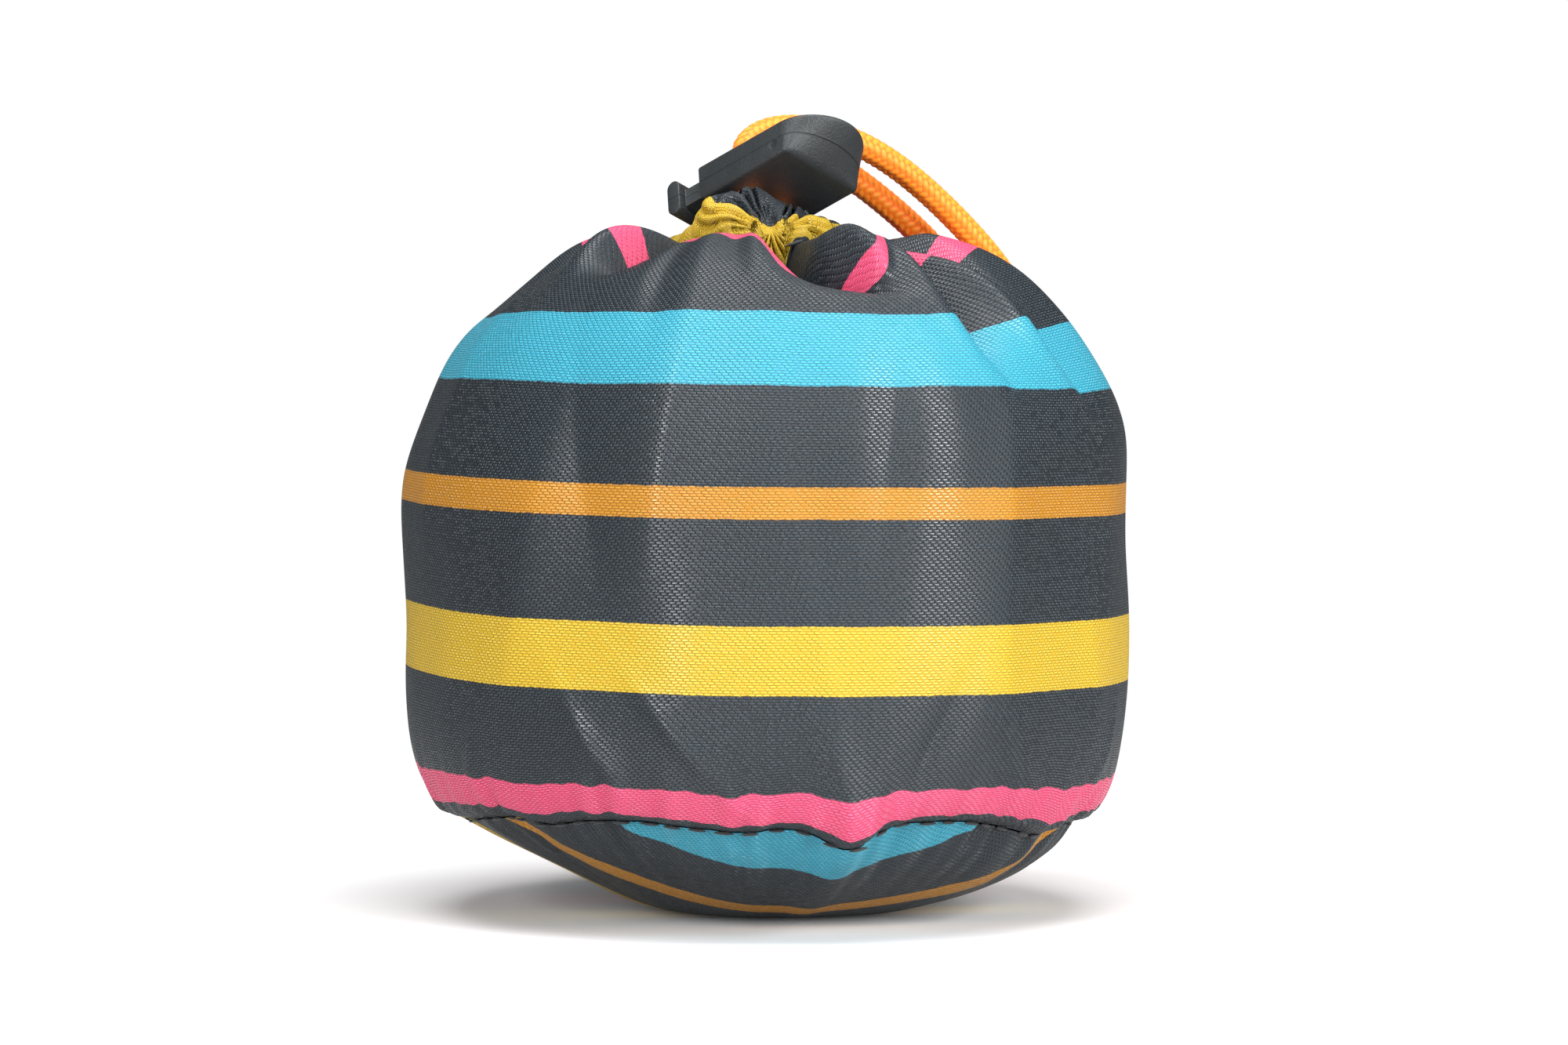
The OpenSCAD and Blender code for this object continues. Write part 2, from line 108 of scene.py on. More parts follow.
def smooth_path(points, passes, held=5):
    """One smooth curve near a list of points, as evenly spaced points, the first of which stay in line."""
    points = np.array(points)
    for _ in range(CORNER_CUTS):
        ahead = 0.75 * points[:-1] + 0.25 * points[1:]
        behind = 0.25 * points[:-1] + 0.75 * points[1:]
        inner = np.stack([ahead, behind], axis=1).reshape(-1, 3)
        points = np.concatenate([points[:1], inner, points[-1:]])
    for _ in range(2):
        along = np.concatenate([[0], np.cumsum(np.linalg.norm(np.diff(points, axis=0), axis=1))])
        at = np.linspace(0, along[-1], int(along[-1] / CORD_STEP) + 1)
        points = np.stack([np.interp(at, along, points[:, k]) for k in range(3)], axis=1)
        for _ in range(passes):
            points[held:-2] = 0.25 * points[held - 1:-3] + 0.5 * points[held:-2] + 0.25 * points[held + 1:-1]
    return points


# Strands each way, cord length for a strand's turn, depth of the gaps, rise of the floats as a share of it
BRAID_STRANDS = 8
BRAID_TURN = 0.01
BRAID_DEPTH = 0.00020
BRAID_PROUD = 1.25
CORD_SIDES = 48


def braid_height(around, along):
    """Height of a two-over-two braid, from 0 in its gaps to 1 on its floats, at turns around and along."""
    a = BRAID_STRANDS * (around + along)
    b = BRAID_STRANDS * (around - along)
    strand_a, strand_b = np.floor(a), np.floor(b)
    a_on_top = np.mod(strand_a + strand_b, 4) < 2
    across = np.where(a_on_top, a - strand_a, b - strand_b)
    lead = np.where(a_on_top, np.mod(strand_a + b, 2), np.mod(strand_b + a + 2, 2)) / 2
    return np.sqrt(np.clip(np.sin(np.pi * across), 0, 1)) * np.sqrt(np.clip(np.sin(np.pi * lead), 0, 1))


def link(obj):
    bpy.context.scene.collection.objects.link(obj)
    return obj


def tube_faces(rings, sides):
    """Faces of a tube made of rings of points, with both its ends closed."""
    faces = [
        (i * sides + k, i * sides + (k + 1) % sides, (i + 1) * sides + (k + 1) % sides, (i + 1) * sides + k)
        for i in range(rings - 1) for k in range(sides)
    ]
    return faces + [tuple(range(sides - 1, -1, -1)), tuple((rings - 1) * sides + k for k in range(sides))]


def keep_on_points(mesh, name, values, kind="FLOAT", field="value"):
    """Keep a number or a vector for each point of a mesh, as a named attribute."""
    values = np.asarray(values, np.float32)
    mesh.attributes.new(name, kind, "POINT").data.foreach_set(field, values.ravel())


def braided_cord(name, path, radius=CORD_R):
    """A tube along a path with the braid raised on it, kept as the attribute braid for its finish."""
    ahead = np.gradient(path, axis=0)
    ahead /= np.linalg.norm(ahead, axis=1)[:, None]
    no_start = (0.3, 1.0, 0.2)  # a direction that no cord starts in
    side = np.cross(ahead[0], no_start)
    rings, heights = [], []
    turn = np.linspace(0, 1, CORD_SIDES, endpoint=False)
    cos, sin = np.cos(2 * np.pi * turn)[:, None], np.sin(2 * np.pi * turn)[:, None]
    for i, (point, t) in enumerate(zip(path, ahead)):
        side = side - t * side.dot(t)
        side /= np.linalg.norm(side)
        height = braid_height(turn, np.full(CORD_SIDES, i * CORD_STEP / BRAID_TURN))
        r = radius - BRAID_DEPTH + BRAID_PROUD * BRAID_DEPTH * height
        rings.append(point + r[:, None] * (cos * side + sin * np.cross(t, side)))
        heights.append(height)
    faces = tube_faces(len(rings), CORD_SIDES)
    mesh = bpy.data.meshes.new(name)
    mesh.from_pydata(np.concatenate(rings).tolist(), [], faces)
    keep_on_points(mesh, "braid", np.concatenate(heights))
    mesh.polygons.foreach_set("use_smooth", [len(f) == 4 for f in faces])
    return link(bpy.data.objects.new(name, mesh))


# Length and points that leave a hole straight, length that a bend takes, rounds of smoothing for the strands,
# the loop and the knot's turns, and the weight that holds an end
CORD_STRAIGHT = 0.0026
STRAIGHT_POINTS = 8
BEND_LENGTH = 0.0035
STRAND_PASSES, LOOP_PASSES, WRAP_PASSES = 70, 20, 6
HELD_FAST = 1e7


def strand_path(side, route_mm):
    """A free strand's course: straight out of its hole for as far as the lock slides, and from there
    bent as a stiff cord bends, with its ends held in place."""
    leaves = [through_hole(side, LOCK_T / 2), through_hole(side, LOCK_T / 2 + CORD_STRAIGHT)]
    path = smooth_path(leaves + metres(route_mm), STRAND_PASSES, STRAIGHT_POINTS)
    bends = np.diff(np.eye(len(path)), 2, axis=0)
    hold = np.ones(len(path))
    hold[:STRAIGHT_POINTS] = hold[-2:] = HELD_FAST
    stiffness = (BEND_LENGTH / CORD_STEP) ** 4
    return np.linalg.solve(np.diag(hold) + stiffness * bends.T @ bends, hold[:, None] * path)


left_path = strand_path(-1, LEFT_ROUTE_MM)
right_path = strand_path(1, RIGHT_ROUTE_MM)
left_strand = braided_cord("left_strand", left_path)
right_strand = braided_cord("right_strand", right_path)

# Below the lock both strands go down into the tunnel, where they are one ring that is open at the front
BELOW_LOCK = 0.0016
LEFT_RISER_MM = [(-2.3, -10.0, 103.0), (-2.7, -11.0, 101.0), (-4.1, -11.1, 99.2)]
RIGHT_RISER_MM = [(2.2, -6.4, 100.6), (2.6, -8.6, 98.9), (4.0, -10.2, 98.4)]
LOOP_R, LOOP_Z, LOOP_POINTS = 0.0115, 0.0985, 27
LOOP_OPEN = math.radians(32)
ring_turn = np.linspace(LOOP_OPEN, 2 * math.pi - LOOP_OPEN, LOOP_POINTS)
ring_points = [np.array((-LOOP_R * math.sin(a), -LOOP_R * math.cos(a), LOOP_Z)) for a in ring_turn]
loop_path = smooth_path(
    [through_hole(-1, LOCK_T / 2), through_hole(-1, -LOCK_T / 2 - BELOW_LOCK)]
    + metres(LEFT_RISER_MM) + ring_points + metres(RIGHT_RISER_MM[::-1])
    + [through_hole(1, -LOCK_T / 2 - BELOW_LOCK), through_hole(1, LOCK_T / 2)], LOOP_PASSES)
loop_cord = braided_cord("loop_cord", loop_path)

# The knot: both strands run through it side by side, and two tight turns go round them
KNOT_CORD_R = 0.0018
KNOT_CORES_MM = [
    [(-7, 58.2, 4.2), (-8.6, 58.9, 4.9), (-10.5, 59.2, 5.4), (-12.6, 58.9, 5.2),
     (-15.5, 57.6, 4.2), (-19.5, 55.7, 3.0), (-23.2, 54.2, 2.1)],
    [(-7, 62.6, 4.6), (-8.6, 61.9, 5.2), (-10.5, 61.6, 5.5), (-12.6, 61.9, 5.2),
     (-15.5, 63.2, 4.2), (-19.5, 65.1, 3.0), (-23.2, 66.6, 2.1)],
]
# The turns lie round a line along X and start and end tucked in between the strands
KNOT_TURNS, KNOT_TURN_FROM, WRAP_POINTS = 2.3, 0.55, 60
WRAP_X_MM, WRAP_Y_MM, WRAP_Z_MM, WRAP_LONG_MM = -7.6, 60.4, 5.55, 6.0
TUCKED_R_MM, WRAP_RISE_MM, TUCKED_SHARE = 1.5, 2.25, 0.13
wrap_share = np.linspace(0, 1, WRAP_POINTS)
wrap_turn = 2 * math.pi * (KNOT_TURN_FROM + KNOT_TURNS * wrap_share)
from_end = np.minimum(wrap_share, 1 - wrap_share)
wrap_r = TUCKED_R_MM + WRAP_RISE_MM * np.clip(from_end / TUCKED_SHARE, 0, 1)
wrap_points = metres(np.stack([
    WRAP_X_MM - WRAP_LONG_MM * wrap_share,
    WRAP_Y_MM + wrap_r * np.cos(wrap_turn), WRAP_Z_MM + wrap_r * np.sin(wrap_turn)], axis=1))
knot_paths = [smooth_path(metres(core), LOOP_PASSES) for core in KNOT_CORES_MM]
knot_paths.append(smooth_path(wrap_points, WRAP_PASSES))
knot_parts = [braided_cord("knot", path, KNOT_CORD_R) for path in knot_paths]


def joined(name, parts):
    """One piece made of several, which are used up."""
    with bpy.context.temp_override(active_object=parts[0], selected_editable_objects=parts):
        bpy.ops.object.join()
    parts[0].name = parts[0].data.name = name
    return parts[0]


knot = joined("knot", knot_parts)


class Value:
    """What comes out of a node. Python sums on it add Math nodes to its tree."""

    def __init__(self, nodes, socket):
        self.nodes, self.socket = nodes, socket

    def maths(self, operation, *others):
        return self.nodes.node("ShaderNodeMath", {"operation": operation}, dict(enumerate((self, *others))))

    def __add__(self, other):
        return self.maths("ADD", other)

    def __sub__(self, other):
        return self.maths("SUBTRACT", other)

    def __rsub__(self, other):
        return self.nodes.node("ShaderNodeMath", {"operation": "SUBTRACT"}, {0: other, 1: self})

    def __mul__(self, other):
        return self.maths("MULTIPLY", other)

    def __truediv__(self, other):
        return self.maths("DIVIDE", other)

    __radd__, __rmul__ = __add__, __mul__

    def ease(self, low, high):
        """0 below low and 1 above high, rounded between them."""
        return self.nodes.node("ShaderNodeMapRange", {"interpolation_type": "SMOOTHSTEP"},
                               {"Value": self, "From Min": low, "From Max": high})


class Nodes:
    """A tree of nodes, which one method adds to."""

    def __init__(self, tree):
        self.tree = tree

    def put(self, socket, value):
        if isinstance(value, Value):
            self.tree.links.new(value.socket, socket)
        else:
            socket.default_value = value

    def node(self, kind, settings, sockets, output=0):
        """Add a node: its settings first, then the values or links of its sockets."""
        node = self.tree.nodes.new(kind)
        for name, value in settings.items():
            setattr(node, name, value)
        for name, value in sockets.items():
            self.put(node.inputs[name], value)
        return Value(self, node.outputs[output]) if node.outputs else None


class Finish(Nodes):
    """A material on one Principled shader, built node by node."""

    def __init__(self, name, uniform):
        self.material = bpy.data.materials.new(name)
        self.material.use_nodes = True
        super().__init__(self.material.node_tree)
        self.shader = self.tree.nodes["Principled BSDF"]
        for socket, value in uniform.items():
            self.shader.inputs[socket].default_value = value

    def mix(self, factor, first, second, blend="MIX"):
        """A colour between two colours."""
        return self.node("ShaderNodeMix", {"data_type": "RGBA", "blend_type": blend},
                         {0: factor, 6: first, 7: second}, output=2)

    def attribute(self, name, output="Fac"):
        return self.node("ShaderNodeAttribute", {"attribute_name": name}, {}, output)

    def noise(self, vector, scale, detail=2.0, roughness=0.5):
        return self.node("ShaderNodeTexNoise", {}, {"Vector": vector, "Scale": scale, "Detail": detail,
                                                    "Roughness": roughness})

    def places(self):
        return self.node("ShaderNodeTexCoord", {}, {}, "Object")

    def relief(self, height, distance, strength=1.0):
        self.feed("Normal", self.node("ShaderNodeBump", {}, {"Height": height, "Distance": distance,
                                                             "Strength": strength}))

    def feed(self, socket, value):
        self.put(self.shader.inputs[socket], value)


def paint(code):
    """Linear colour of a written one, such as e0b83a."""
    parts = [int(code[i:i + 2], 16) / 255 for i in (0, 2, 4)]
    return tuple(c / 12.92 if c <= 0.04045 else ((c + 0.055) / 1.055) ** 2.4 for c in parts) + (1.0,)


# Painted light on the braid: its gaps take a darker orange, a painted shade, and its floats lighten at random
# toward a pale orange, painted glints.
GAP_SHADE_ORANGE, FLOAT_ORANGE, GLINT_ORANGE = paint("ff6a02"), paint("ff800a"), paint("ffa42c")
braid_finish = Finish("braided_polyester", {"Sheen Weight": 0.1, "Sheen Roughness": 0.4})
braid_rise = braid_finish.attribute("braid")
fluff_and_glint = braid_finish.noise(braid_finish.places(), scale=900, detail=3)
braid_finish.feed("Base Color", braid_finish.mix(
    braid_rise.ease(0.15, 0.75), GAP_SHADE_ORANGE, braid_finish.mix(fluff_and_glint, FLOAT_ORANGE, GLINT_ORANGE)))
braid_finish.feed("Roughness", 0.75 - 0.25 * braid_rise)
braid_finish.relief(fluff_and_glint, distance=0.00012)
for strand in (left_strand, right_strand, loop_cord, knot):
    strand.data.materials.append(braid_finish.material)
    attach(strand, "sack")
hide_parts("drawcord_loop")
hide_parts("drawcord_knot")


for strand, path, node in (
    (left_strand, left_path, "drawcord_left_strand"), (right_strand, right_path, "drawcord_right_strand"),
):
    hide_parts(node)


# Side panel. One rectangle of striped satin polyester, sewn into a tube, stuffed full and drawn together
# at the top: the cloth stands straight at the wall, swells over the shoulder and dives into the gathers.
SATIN_AROUND = 0.341
PANEL_TOP = 0.112
PANEL_COLUMNS, PANEL_ROWS = 512, 160
# Outlines from the bottom seam to the neck, as radius and height in mm, at the front, right, back and left
FRONT_OUTLINE = [
    (47.5, 15.5), (50.6, 18.6), (52.6, 25), (53.8, 33), (54.3, 42), (54.3, 62), (54.0, 70), (53.2, 76),
    (51.8, 82), (49.8, 87), (47.0, 92), (43.5, 96.6), (40.5, 99.2), (37, 100.6), (33, 101), (28, 100.6),
    (22, 99.8), (15.5, 99.4),
]
RIGHT_OUTLINE = [
    (48.0, 13.4), (51.5, 17), (52.8, 21.5), (53.9, 28), (54.4, 35), (54.4, 44), (53.7, 55.5), (54.1, 64),
    (54.6, 71), (53.6, 75.5), (51.4, 79.5), (48.4, 84), (45.0, 89), (39.8, 94), (32, 98.2), (25, 100.6),
    (19, 100.0), (15.5, 98.2),
]
BACK_OUTLINE = [
    (47.8, 14.5), (50.8, 19), (52.6, 25), (53.7, 32), (54.3, 40), (54.3, 62), (53.8, 69), (52.3, 75.5),
    (49.0, 82.4), (44.4, 88.4), (38.5, 93.6), (32, 97.6), (25.5, 100.2), (19.5, 100.4), (15.5, 98.4),
]
LEFT_OUTLINE = [
    (47.2, 15), (50.6, 18.5), (52.7, 22.5), (53.6, 28), (53.9, 36), (53.5, 43), (53.9, 50), (54.5, 61),
    (54.1, 66), (52.4, 70.8), (50, 76.7), (48.2, 81.4), (45.4, 85.8), (40.5, 90), (34.7, 94.4), (29, 98.8),
    (24.1, 100.8), (19, 100.3), (15.5, 98.2),
]


def outline_at(outline, rows):
    """Radius and height in metres at evenly spaced places along an outline, with its corners rounded."""
    points = np.array(outline) / 1000
    along = np.concatenate([[0], np.cumsum(np.linalg.norm(np.diff(points, axis=0), axis=1))])
    at = np.linspace(0, along[-1], rows + 1)
    even = np.stack([np.interp(at, along, points[:, k]) for k in range(2)], axis=1)
    for _ in range(rows // 5):
        even[1:-1] = 0.25 * even[:-2] + 0.5 * even[1:-1] + 0.25 * even[2:]
    return even


# How far the print lies above the bottom seam's own line at the front, right, back and left, in mm
PRINT_SHIFT_MM = (0.85, -0.25, 0.0, -1.25)
# Height of the print at the neck at the same four sides, in mm, and where it starts to be evened out
PRINT_TOP_MM = (112, 112, 108, 103)
PRINT_EVEN = 0.080
# Right of the front the shoulder's cloth hangs lower, between these angles. Left of it, it is drawn up a bit.
HANGS_LOWER, HANGS_FROM, HANGS_TO = 0.0095, (-5, 7), (23, 29)
DRAWN_UP, DRAWN_AT, DRAWN_HALF = 0.0028, -16, 8
# Heights on the cloth between which that sets in
MOVES_FROM = (0.079, 0.087)


def ease(low, high, x):
    t = np.clip((x - low) / (high - low), 0, 1)
    return t * t * (3 - 2 * t)


# Folds of the shoulder: angle from the front where each one fades out on the wall and where it reaches the
# neck, height on the cloth where it starts and where it is deep, depth, and half width to its left and to its
# right. Lengths in mm, angles and half widths in degrees.
SHOULDER_FOLDS = [
    (29, 8, 80, 101, 9.5, 11, 2.8), (46, 29, 61, 88, 8.0, 2.8, 8), (71, 42, 56, 90, 7.6, 2.8, 7),
    (92, 66, 70, 100, 4.5, 5, 6), (108, 92, 72, 100, 4.8, 5, 5),
    (131, 130, 80, 100, 4.4, 7, 6), (157, 157, 76, 100, 4.8, 6, 6), (-157, -157, 78, 100, 4.8, 6, 6),
    (-121, -118, 74, 100, 5.2, 6, 6), (-100, -96, 76, 100, 5.0, 6, 6), (-78, -73, 74, 101, 4.8, 5.5, 5.5),
    (-57, -54, 80, 99, 4.4, 5, 5), (-36, -38, 83, 95, 7.4, 4, 8),
]
# How sharp a fold is, how much its width wavers, the lip beside it, and how it gets shallower in the neck
FOLD_SHARP, FOLD_WAVER = 1.25, 0.25
FOLD_LIP, FOLD_LIP_AT = 0.16, 2.4
FOLD_FADES, FOLD_FADES_OVER = 0.4, (103, 112)
# Height on the cloth where folds and pleats reach the neck
NECK_V = 110
# Smaller pleats that start close to the neck: angle, height where they start, depth and half width
NECK_PLEATS = [
    (-26, 98, 3.0, 3.0), (-14, 97, 3.6, 3.2), (-2, 98, 3.0, 3.0), (11, 96, 3.6, 3.4), (-60, 99, 3.0, 3.0),
    (-82, 98, 3.2, 3.4), (-107, 99, 3.0, 3.2), (-131, 98, 3.2, 3.2), (-156, 99, 3.0, 3.0),
    (176, 98, 3.2, 3.2), (152, 99, 3.0, 3.2), (129, 98, 3.0, 3.2), (102, 99, 3.2, 3.0), (70, 98, 3.2, 3.0),
    (60, 99, 2.6, 2.6),
]
PLEAT_SHARP = 1.4
# Broad soft swells and hollows of the wall: angle, height on the cloth, rise, half width in degrees and in mm
WALL_SWELLS = [
    (-9, 86, 0.5, 20, 12), (21, 105, 0.8, 6, 6), (-45, 93, 2.0, 4.5, 9),
    (-19, 90, -1.5, 3.5, 11), (-6, 92, -0.9, 3.5, 9), (-24, 34, -0.9, 9, 26),
    (7, 40, -0.8, 5, 34), (33, 38, 0.9, 11, 30), (58, 46, -0.9, 9, 24),
    (-48, 50, 0.7, 12, 30), (56, 84, 1.6, 9, 12), (-70, 30, -0.7, 10, 20), (96, 40, 0.6, 14, 30),
    (130, 44, -0.8, 12, 28), (168, 36, 0.7, 14, 30), (-120, 40, 0.8, 12, 30), (-150, 44, -0.8, 10, 28),
]
# Slight creases of the wall: the same values as a swell, and how far each leans in degrees per mm of height
WALL_CREASES = [
    (40, 48, 0.9, 4.5, 24, 0.05), (9, 28, 0.8, 4, 20, -0.25), (-15, 60, 0.6, 4.5, 18, 0.15),
    (-40, 36, 0.7, 5, 20, 0.22), (20, 60, -0.6, 4.5, 14, 0.12), (-30, 58, -0.5, 4, 16, -0.2),
    (62, 30, 0.7, 5, 18, -0.2), (-64, 56, 0.6, 5, 16, 0.2), (11, 13, 1.0, 2.4, 9, -0.35),
    (-10, 13, 0.9, 2.2, 9, -0.9), (-28, 15, 0.8, 2.2, 8, -0.6), (44, 14, 0.8, 2.4, 9, -0.4),
    (27, 16, -0.7, 3, 10, 0.5), (-52, 14, 0.7, 2.4, 8, 0.5), (88, 60, -0.6, 6, 20, 0.2),
    (70, 13, 0.7, 2.6, 8, 0.4), (118, 34, 0.7, 5, 18, 0.2), (150, 60, 0.6, 5, 18, -0.2),
    (-100, 34, -0.6, 5, 18, 0.2), (-136, 58, 0.7, 5, 18, -0.2),
]
CREASE_SHARP = 1.3
# Unevenness all round: depth, seed, waves round the sack, and heights on the cloth between which it sets in
UNEVEN = [(0.22, 7, (9, 13, 17, 23), (6, 20)), (0.5, 8, (19, 27, 34, 41), (80, 108))]
# Course of the bottom seam: angle from the front and height in mm
SEAM_COURSE = [
    (-180, 14.4), (-160, 15.6), (-142, 13.8), (-120, 15.2), (-104, 13.8), (-88, 15.0), (-74, 14.0),
    (-60, 15.3), (-50, 16.2), (-43, 15.2), (-34, 16.4), (-24, 16.7), (-10, 15.8), (-4, 15.2), (3, 16.0),
    (8, 15.6), (15, 12.2), (20.5, 15.4), (26, 16.4), (38, 16.2), (48, 14.9), (58, 12.6), (66, 14.0),
    (80, 13.2), (98, 14.8), (114, 13.2), (132, 15.2), (150, 13.6), (166, 15.0), (180, 14.4),
]
# Sewing draws the cloth into short puckers above the seam, and the tip right of the front stands out
PUCKER_DEPTH, PUCKER_HIGH, PUCKER_SHARP, FINE_PUCKERS = 1.1, 0.0055, 1.3, 0.6
TIP_ANGLE, TIP_HALF, TIP_OUT, TIP_HIGH = 15, 4.5, 2.2, 0.007
# Above the seam the wall follows its course, and the panel's edge is turned in and up, under the wall
SEAM_FELT, SEAM_FADES = 0.009, 1.6
TUCK_HIGH, TUCK_IN, TUCK_UP = 0.0013, 0.0017, 0.0008
# The seam down the back lies in a narrow groove, which starts and ends between these heights on the cloth
GROOVE_DEPTH, GROOVE_HALF = 0.9, 0.7
GROOVE_STARTS, GROOVE_ENDS = (2, 6), (98, 108)


def turned_from(angle, centre):
    """Signed difference of angles in degrees, from -180 to 180."""
    return np.mod(angle - centre + 180, 360) - 180


def seam_height(angle):
    """Height of the bottom seam in metres, smoothed between the points of its course."""
    course = np.array(SEAM_COURSE)
    spread = np.arange(-2.4, 2.5, 0.8)
    nearby = [np.interp(turned_from(angle + d, 0), course[:, 0], course[:, 1]) for d in spread]
    return np.mean(nearby, axis=0) / 1000


def ring_noise(angle, height, seed, waves):
    """Soft noise round the sack from a few sines, -1 to 1, whose waves lean with height."""
    rng = np.random.default_rng(seed)
    total = np.zeros(np.broadcast(angle, height).shape)
    for count in waves:
        lean, phase = rng.uniform(-1, 1), rng.uniform(0, 2 * np.pi)
        total += np.sin(np.radians(angle) * count + 40 * lean * height * count / 10 + phase) / len(waves)
    return total


# How sharply the outline of one side gives way to the next
SIDE_BLEND = 1.5
# Angle from the front in degrees, of each column of points and of each point of the panel
angle = np.arange(PANEL_COLUMNS) * 360 / PANEL_COLUMNS - 180
around = np.tile(angle, (PANEL_ROWS + 1, 1))
across, forward = np.sin(np.radians(around)), np.cos(np.radians(around))
weights = [np.clip(w, 0, None) ** SIDE_BLEND for w in (forward, across, -forward, -across)]


def blended(parts):
    """What the front, right, back and left give at each angle between them."""
    return sum(w * part for w, part in zip(weights, parts)) / sum(weights)


outlines = [outline_at(o, PANEL_ROWS) for o in (FRONT_OUTLINE, RIGHT_OUTLINE, BACK_OUTLINE, LEFT_OUTLINE)]
panel_r = blended([o[:, :1] for o in outlines])
panel_z = blended([o[:, 1:] for o in outlines])

# Height on the cloth: its length from the bottom seam, evened out towards the neck
climb = np.cumsum(np.hypot(np.diff(panel_r, axis=0), np.diff(panel_z, axis=0)), axis=0)
from_seam = np.concatenate([np.zeros((1, PANEL_COLUMNS)), climb])
up = from_seam + blended(PRINT_SHIFT_MM) / 1000
to_top = (blended(PRINT_TOP_MM) / 1000 - PRINT_EVEN) / (up[-1] - PRINT_EVEN)
up = np.where(up < PRINT_EVEN, up, PRINT_EVEN + (up - PRINT_EVEN) * to_top)
moved = HANGS_LOWER * ease(*HANGS_FROM, around) * (1 - ease(*HANGS_TO, around))
moved -= DRAWN_UP * np.exp(-(turned_from(around, DRAWN_AT) / DRAWN_HALF) ** 4)
moved *= ease(*MOVES_FROM, up)
up = np.where(up > PRINT_EVEN, np.minimum(up + moved, np.maximum(up, PANEL_TOP)), up)
up_mm = up * 1000

# Inward direction of the smooth form, for the folds
run_r, run_z = np.gradient(panel_r, axis=0), np.gradient(panel_z, axis=0)
run = np.hypot(run_r, run_z)
inward_r, inward_z = -run_z / run, run_r / run

depth = np.zeros_like(up)
for wall_a, neck_a, v_start, v_full, deep, half_left, half_right in SHOULDER_FOLDS:
    up_fold = np.clip((up_mm - v_start) / (NECK_V - v_start), 0, 1)
    off = turned_from(around, wall_a + (neck_a - wall_a) * up_fold)
    waver = 1 + FOLD_WAVER * ring_noise(around, up, 3, (5, 9))
    off = np.abs(off) / np.where(off < 0, half_left, half_right) / waver
    fold = np.exp(-off ** FOLD_SHARP) - FOLD_LIP * np.exp(-(off - FOLD_LIP_AT) ** 2)
    depth += deep * ease(v_start, v_full, up_mm) * (1 - FOLD_FADES * ease(*FOLD_FADES_OVER, up_mm)) * fold
for centre, v_start, deep, half in NECK_PLEATS:
    off = np.abs(turned_from(around, centre)) / half
    depth += deep * ease(v_start, NECK_V, up_mm) * np.exp(-off ** PLEAT_SHARP)
for centre, v_mid, rise, half_a, half_v in WALL_SWELLS:
    depth -= rise * np.exp(-(turned_from(around, centre) / half_a) ** 2 - ((up_mm - v_mid) / half_v) ** 2)
for centre, v_mid, rise, half_a, half_v, lean in WALL_CREASES:
    off = turned_from(around, centre + lean * (up_mm - v_mid)) / half_a
    depth -= rise * np.exp(-np.abs(off) ** CREASE_SHARP - ((up_mm - v_mid) / half_v) ** 2)
for deep, seed, waves, sets_in in UNEVEN:
    depth += deep * ring_noise(around, up, seed, waves) * ease(*sets_in, up_mm)
pucker = ring_noise(around, up, 11, (21, 33, 46)) + FINE_PUCKERS * ring_noise(around, up, 12, (60, 75))
depth += PUCKER_DEPTH * pucker * np.exp(-(from_seam / PUCKER_HIGH) ** PUCKER_SHARP)
tip = np.exp(-(turned_from(around, TIP_ANGLE) / TIP_HALF) ** 2)
depth -= TIP_OUT * tip * np.exp(-(from_seam / TIP_HIGH) ** 2)
groove = np.exp(-(turned_from(around, 180) / GROOVE_HALF) ** 2)
depth += GROOVE_DEPTH * groove * ease(*GROOVE_STARTS, up_mm) * (1 - ease(*GROOVE_ENDS, up_mm))
panel_r = panel_r + inward_r * depth / 1000
panel_z = panel_z + inward_z * depth / 1000
panel_z += (seam_height(around) - panel_z[:1]) * np.exp(-(from_seam / SEAM_FELT) ** SEAM_FADES)
tuck = np.exp(-(from_seam / TUCK_HIGH) ** 2)
panel_r = panel_r - TUCK_IN * tuck
panel_z = panel_z + TUCK_UP * tuck


def round_points(r, z, a):
    """Points from radius, height and the angle from the front in degrees."""
    a = np.radians(a)
    return np.stack([r * np.sin(a), -r * np.cos(a), z * np.ones_like(a)], axis=-1)


def satin_sheet(name, points, u, v, wrap_u, run=None):
    """Rings of cloth points, with u and v along the print in metres as its UV map, where u goes on by wrap_u
    a turn. The attribute yarn is v, or the run along the cloth, and counts its rows of yarn."""
    rows, columns = points.shape[:2]
    faces, corners = [], []
    for j in range(rows - 1):
        for i in range(columns):
            k = (i + 1) % columns
            faces.append((j * columns + i, j * columns + k, (j + 1) * columns + k, (j + 1) * columns + i))
            corners += [(j, i, 0), (j, k, k < i), (j + 1, k, k < i), (j + 1, i, 0)]
    corners = np.array(corners)
    mesh = bpy.data.meshes.new(name)
    mesh.from_pydata(points.reshape(-1, 3).tolist(), [], faces)
    uv = np.stack([
        u[corners[:, 0], corners[:, 1]] + corners[:, 2] * wrap_u, v[corners[:, 0], corners[:, 1]]], axis=1)
    mesh.uv_layers.new(name="weave").data.foreach_set("uv", uv.astype(np.float32).ravel())
    keep_on_points(mesh, "yarn", v if run is None else run)
    mesh.polygons.foreach_set("use_smooth", [True] * len(faces))
    return link(bpy.data.objects.new(name, mesh))


panel_points = round_points(panel_r, panel_z, around)
# Over the shoulder the rows of yarn follow the folded cloth, not the print
YARN_FOLLOWS = 0.079
folded_step = np.linalg.norm(np.diff(panel_points, axis=0), axis=2)
panel_step = np.where(up[1:] > YARN_FOLLOWS, folded_step, np.diff(up, axis=0))
panel_run = np.concatenate([up[:1], up[:1] + np.cumsum(panel_step, axis=0)])
side_cloth = satin_sheet("side_cloth", panel_points, around / 360 * SATIN_AROUND, up, SATIN_AROUND, panel_run)
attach(side_cloth, "sack")
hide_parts("side_panel")

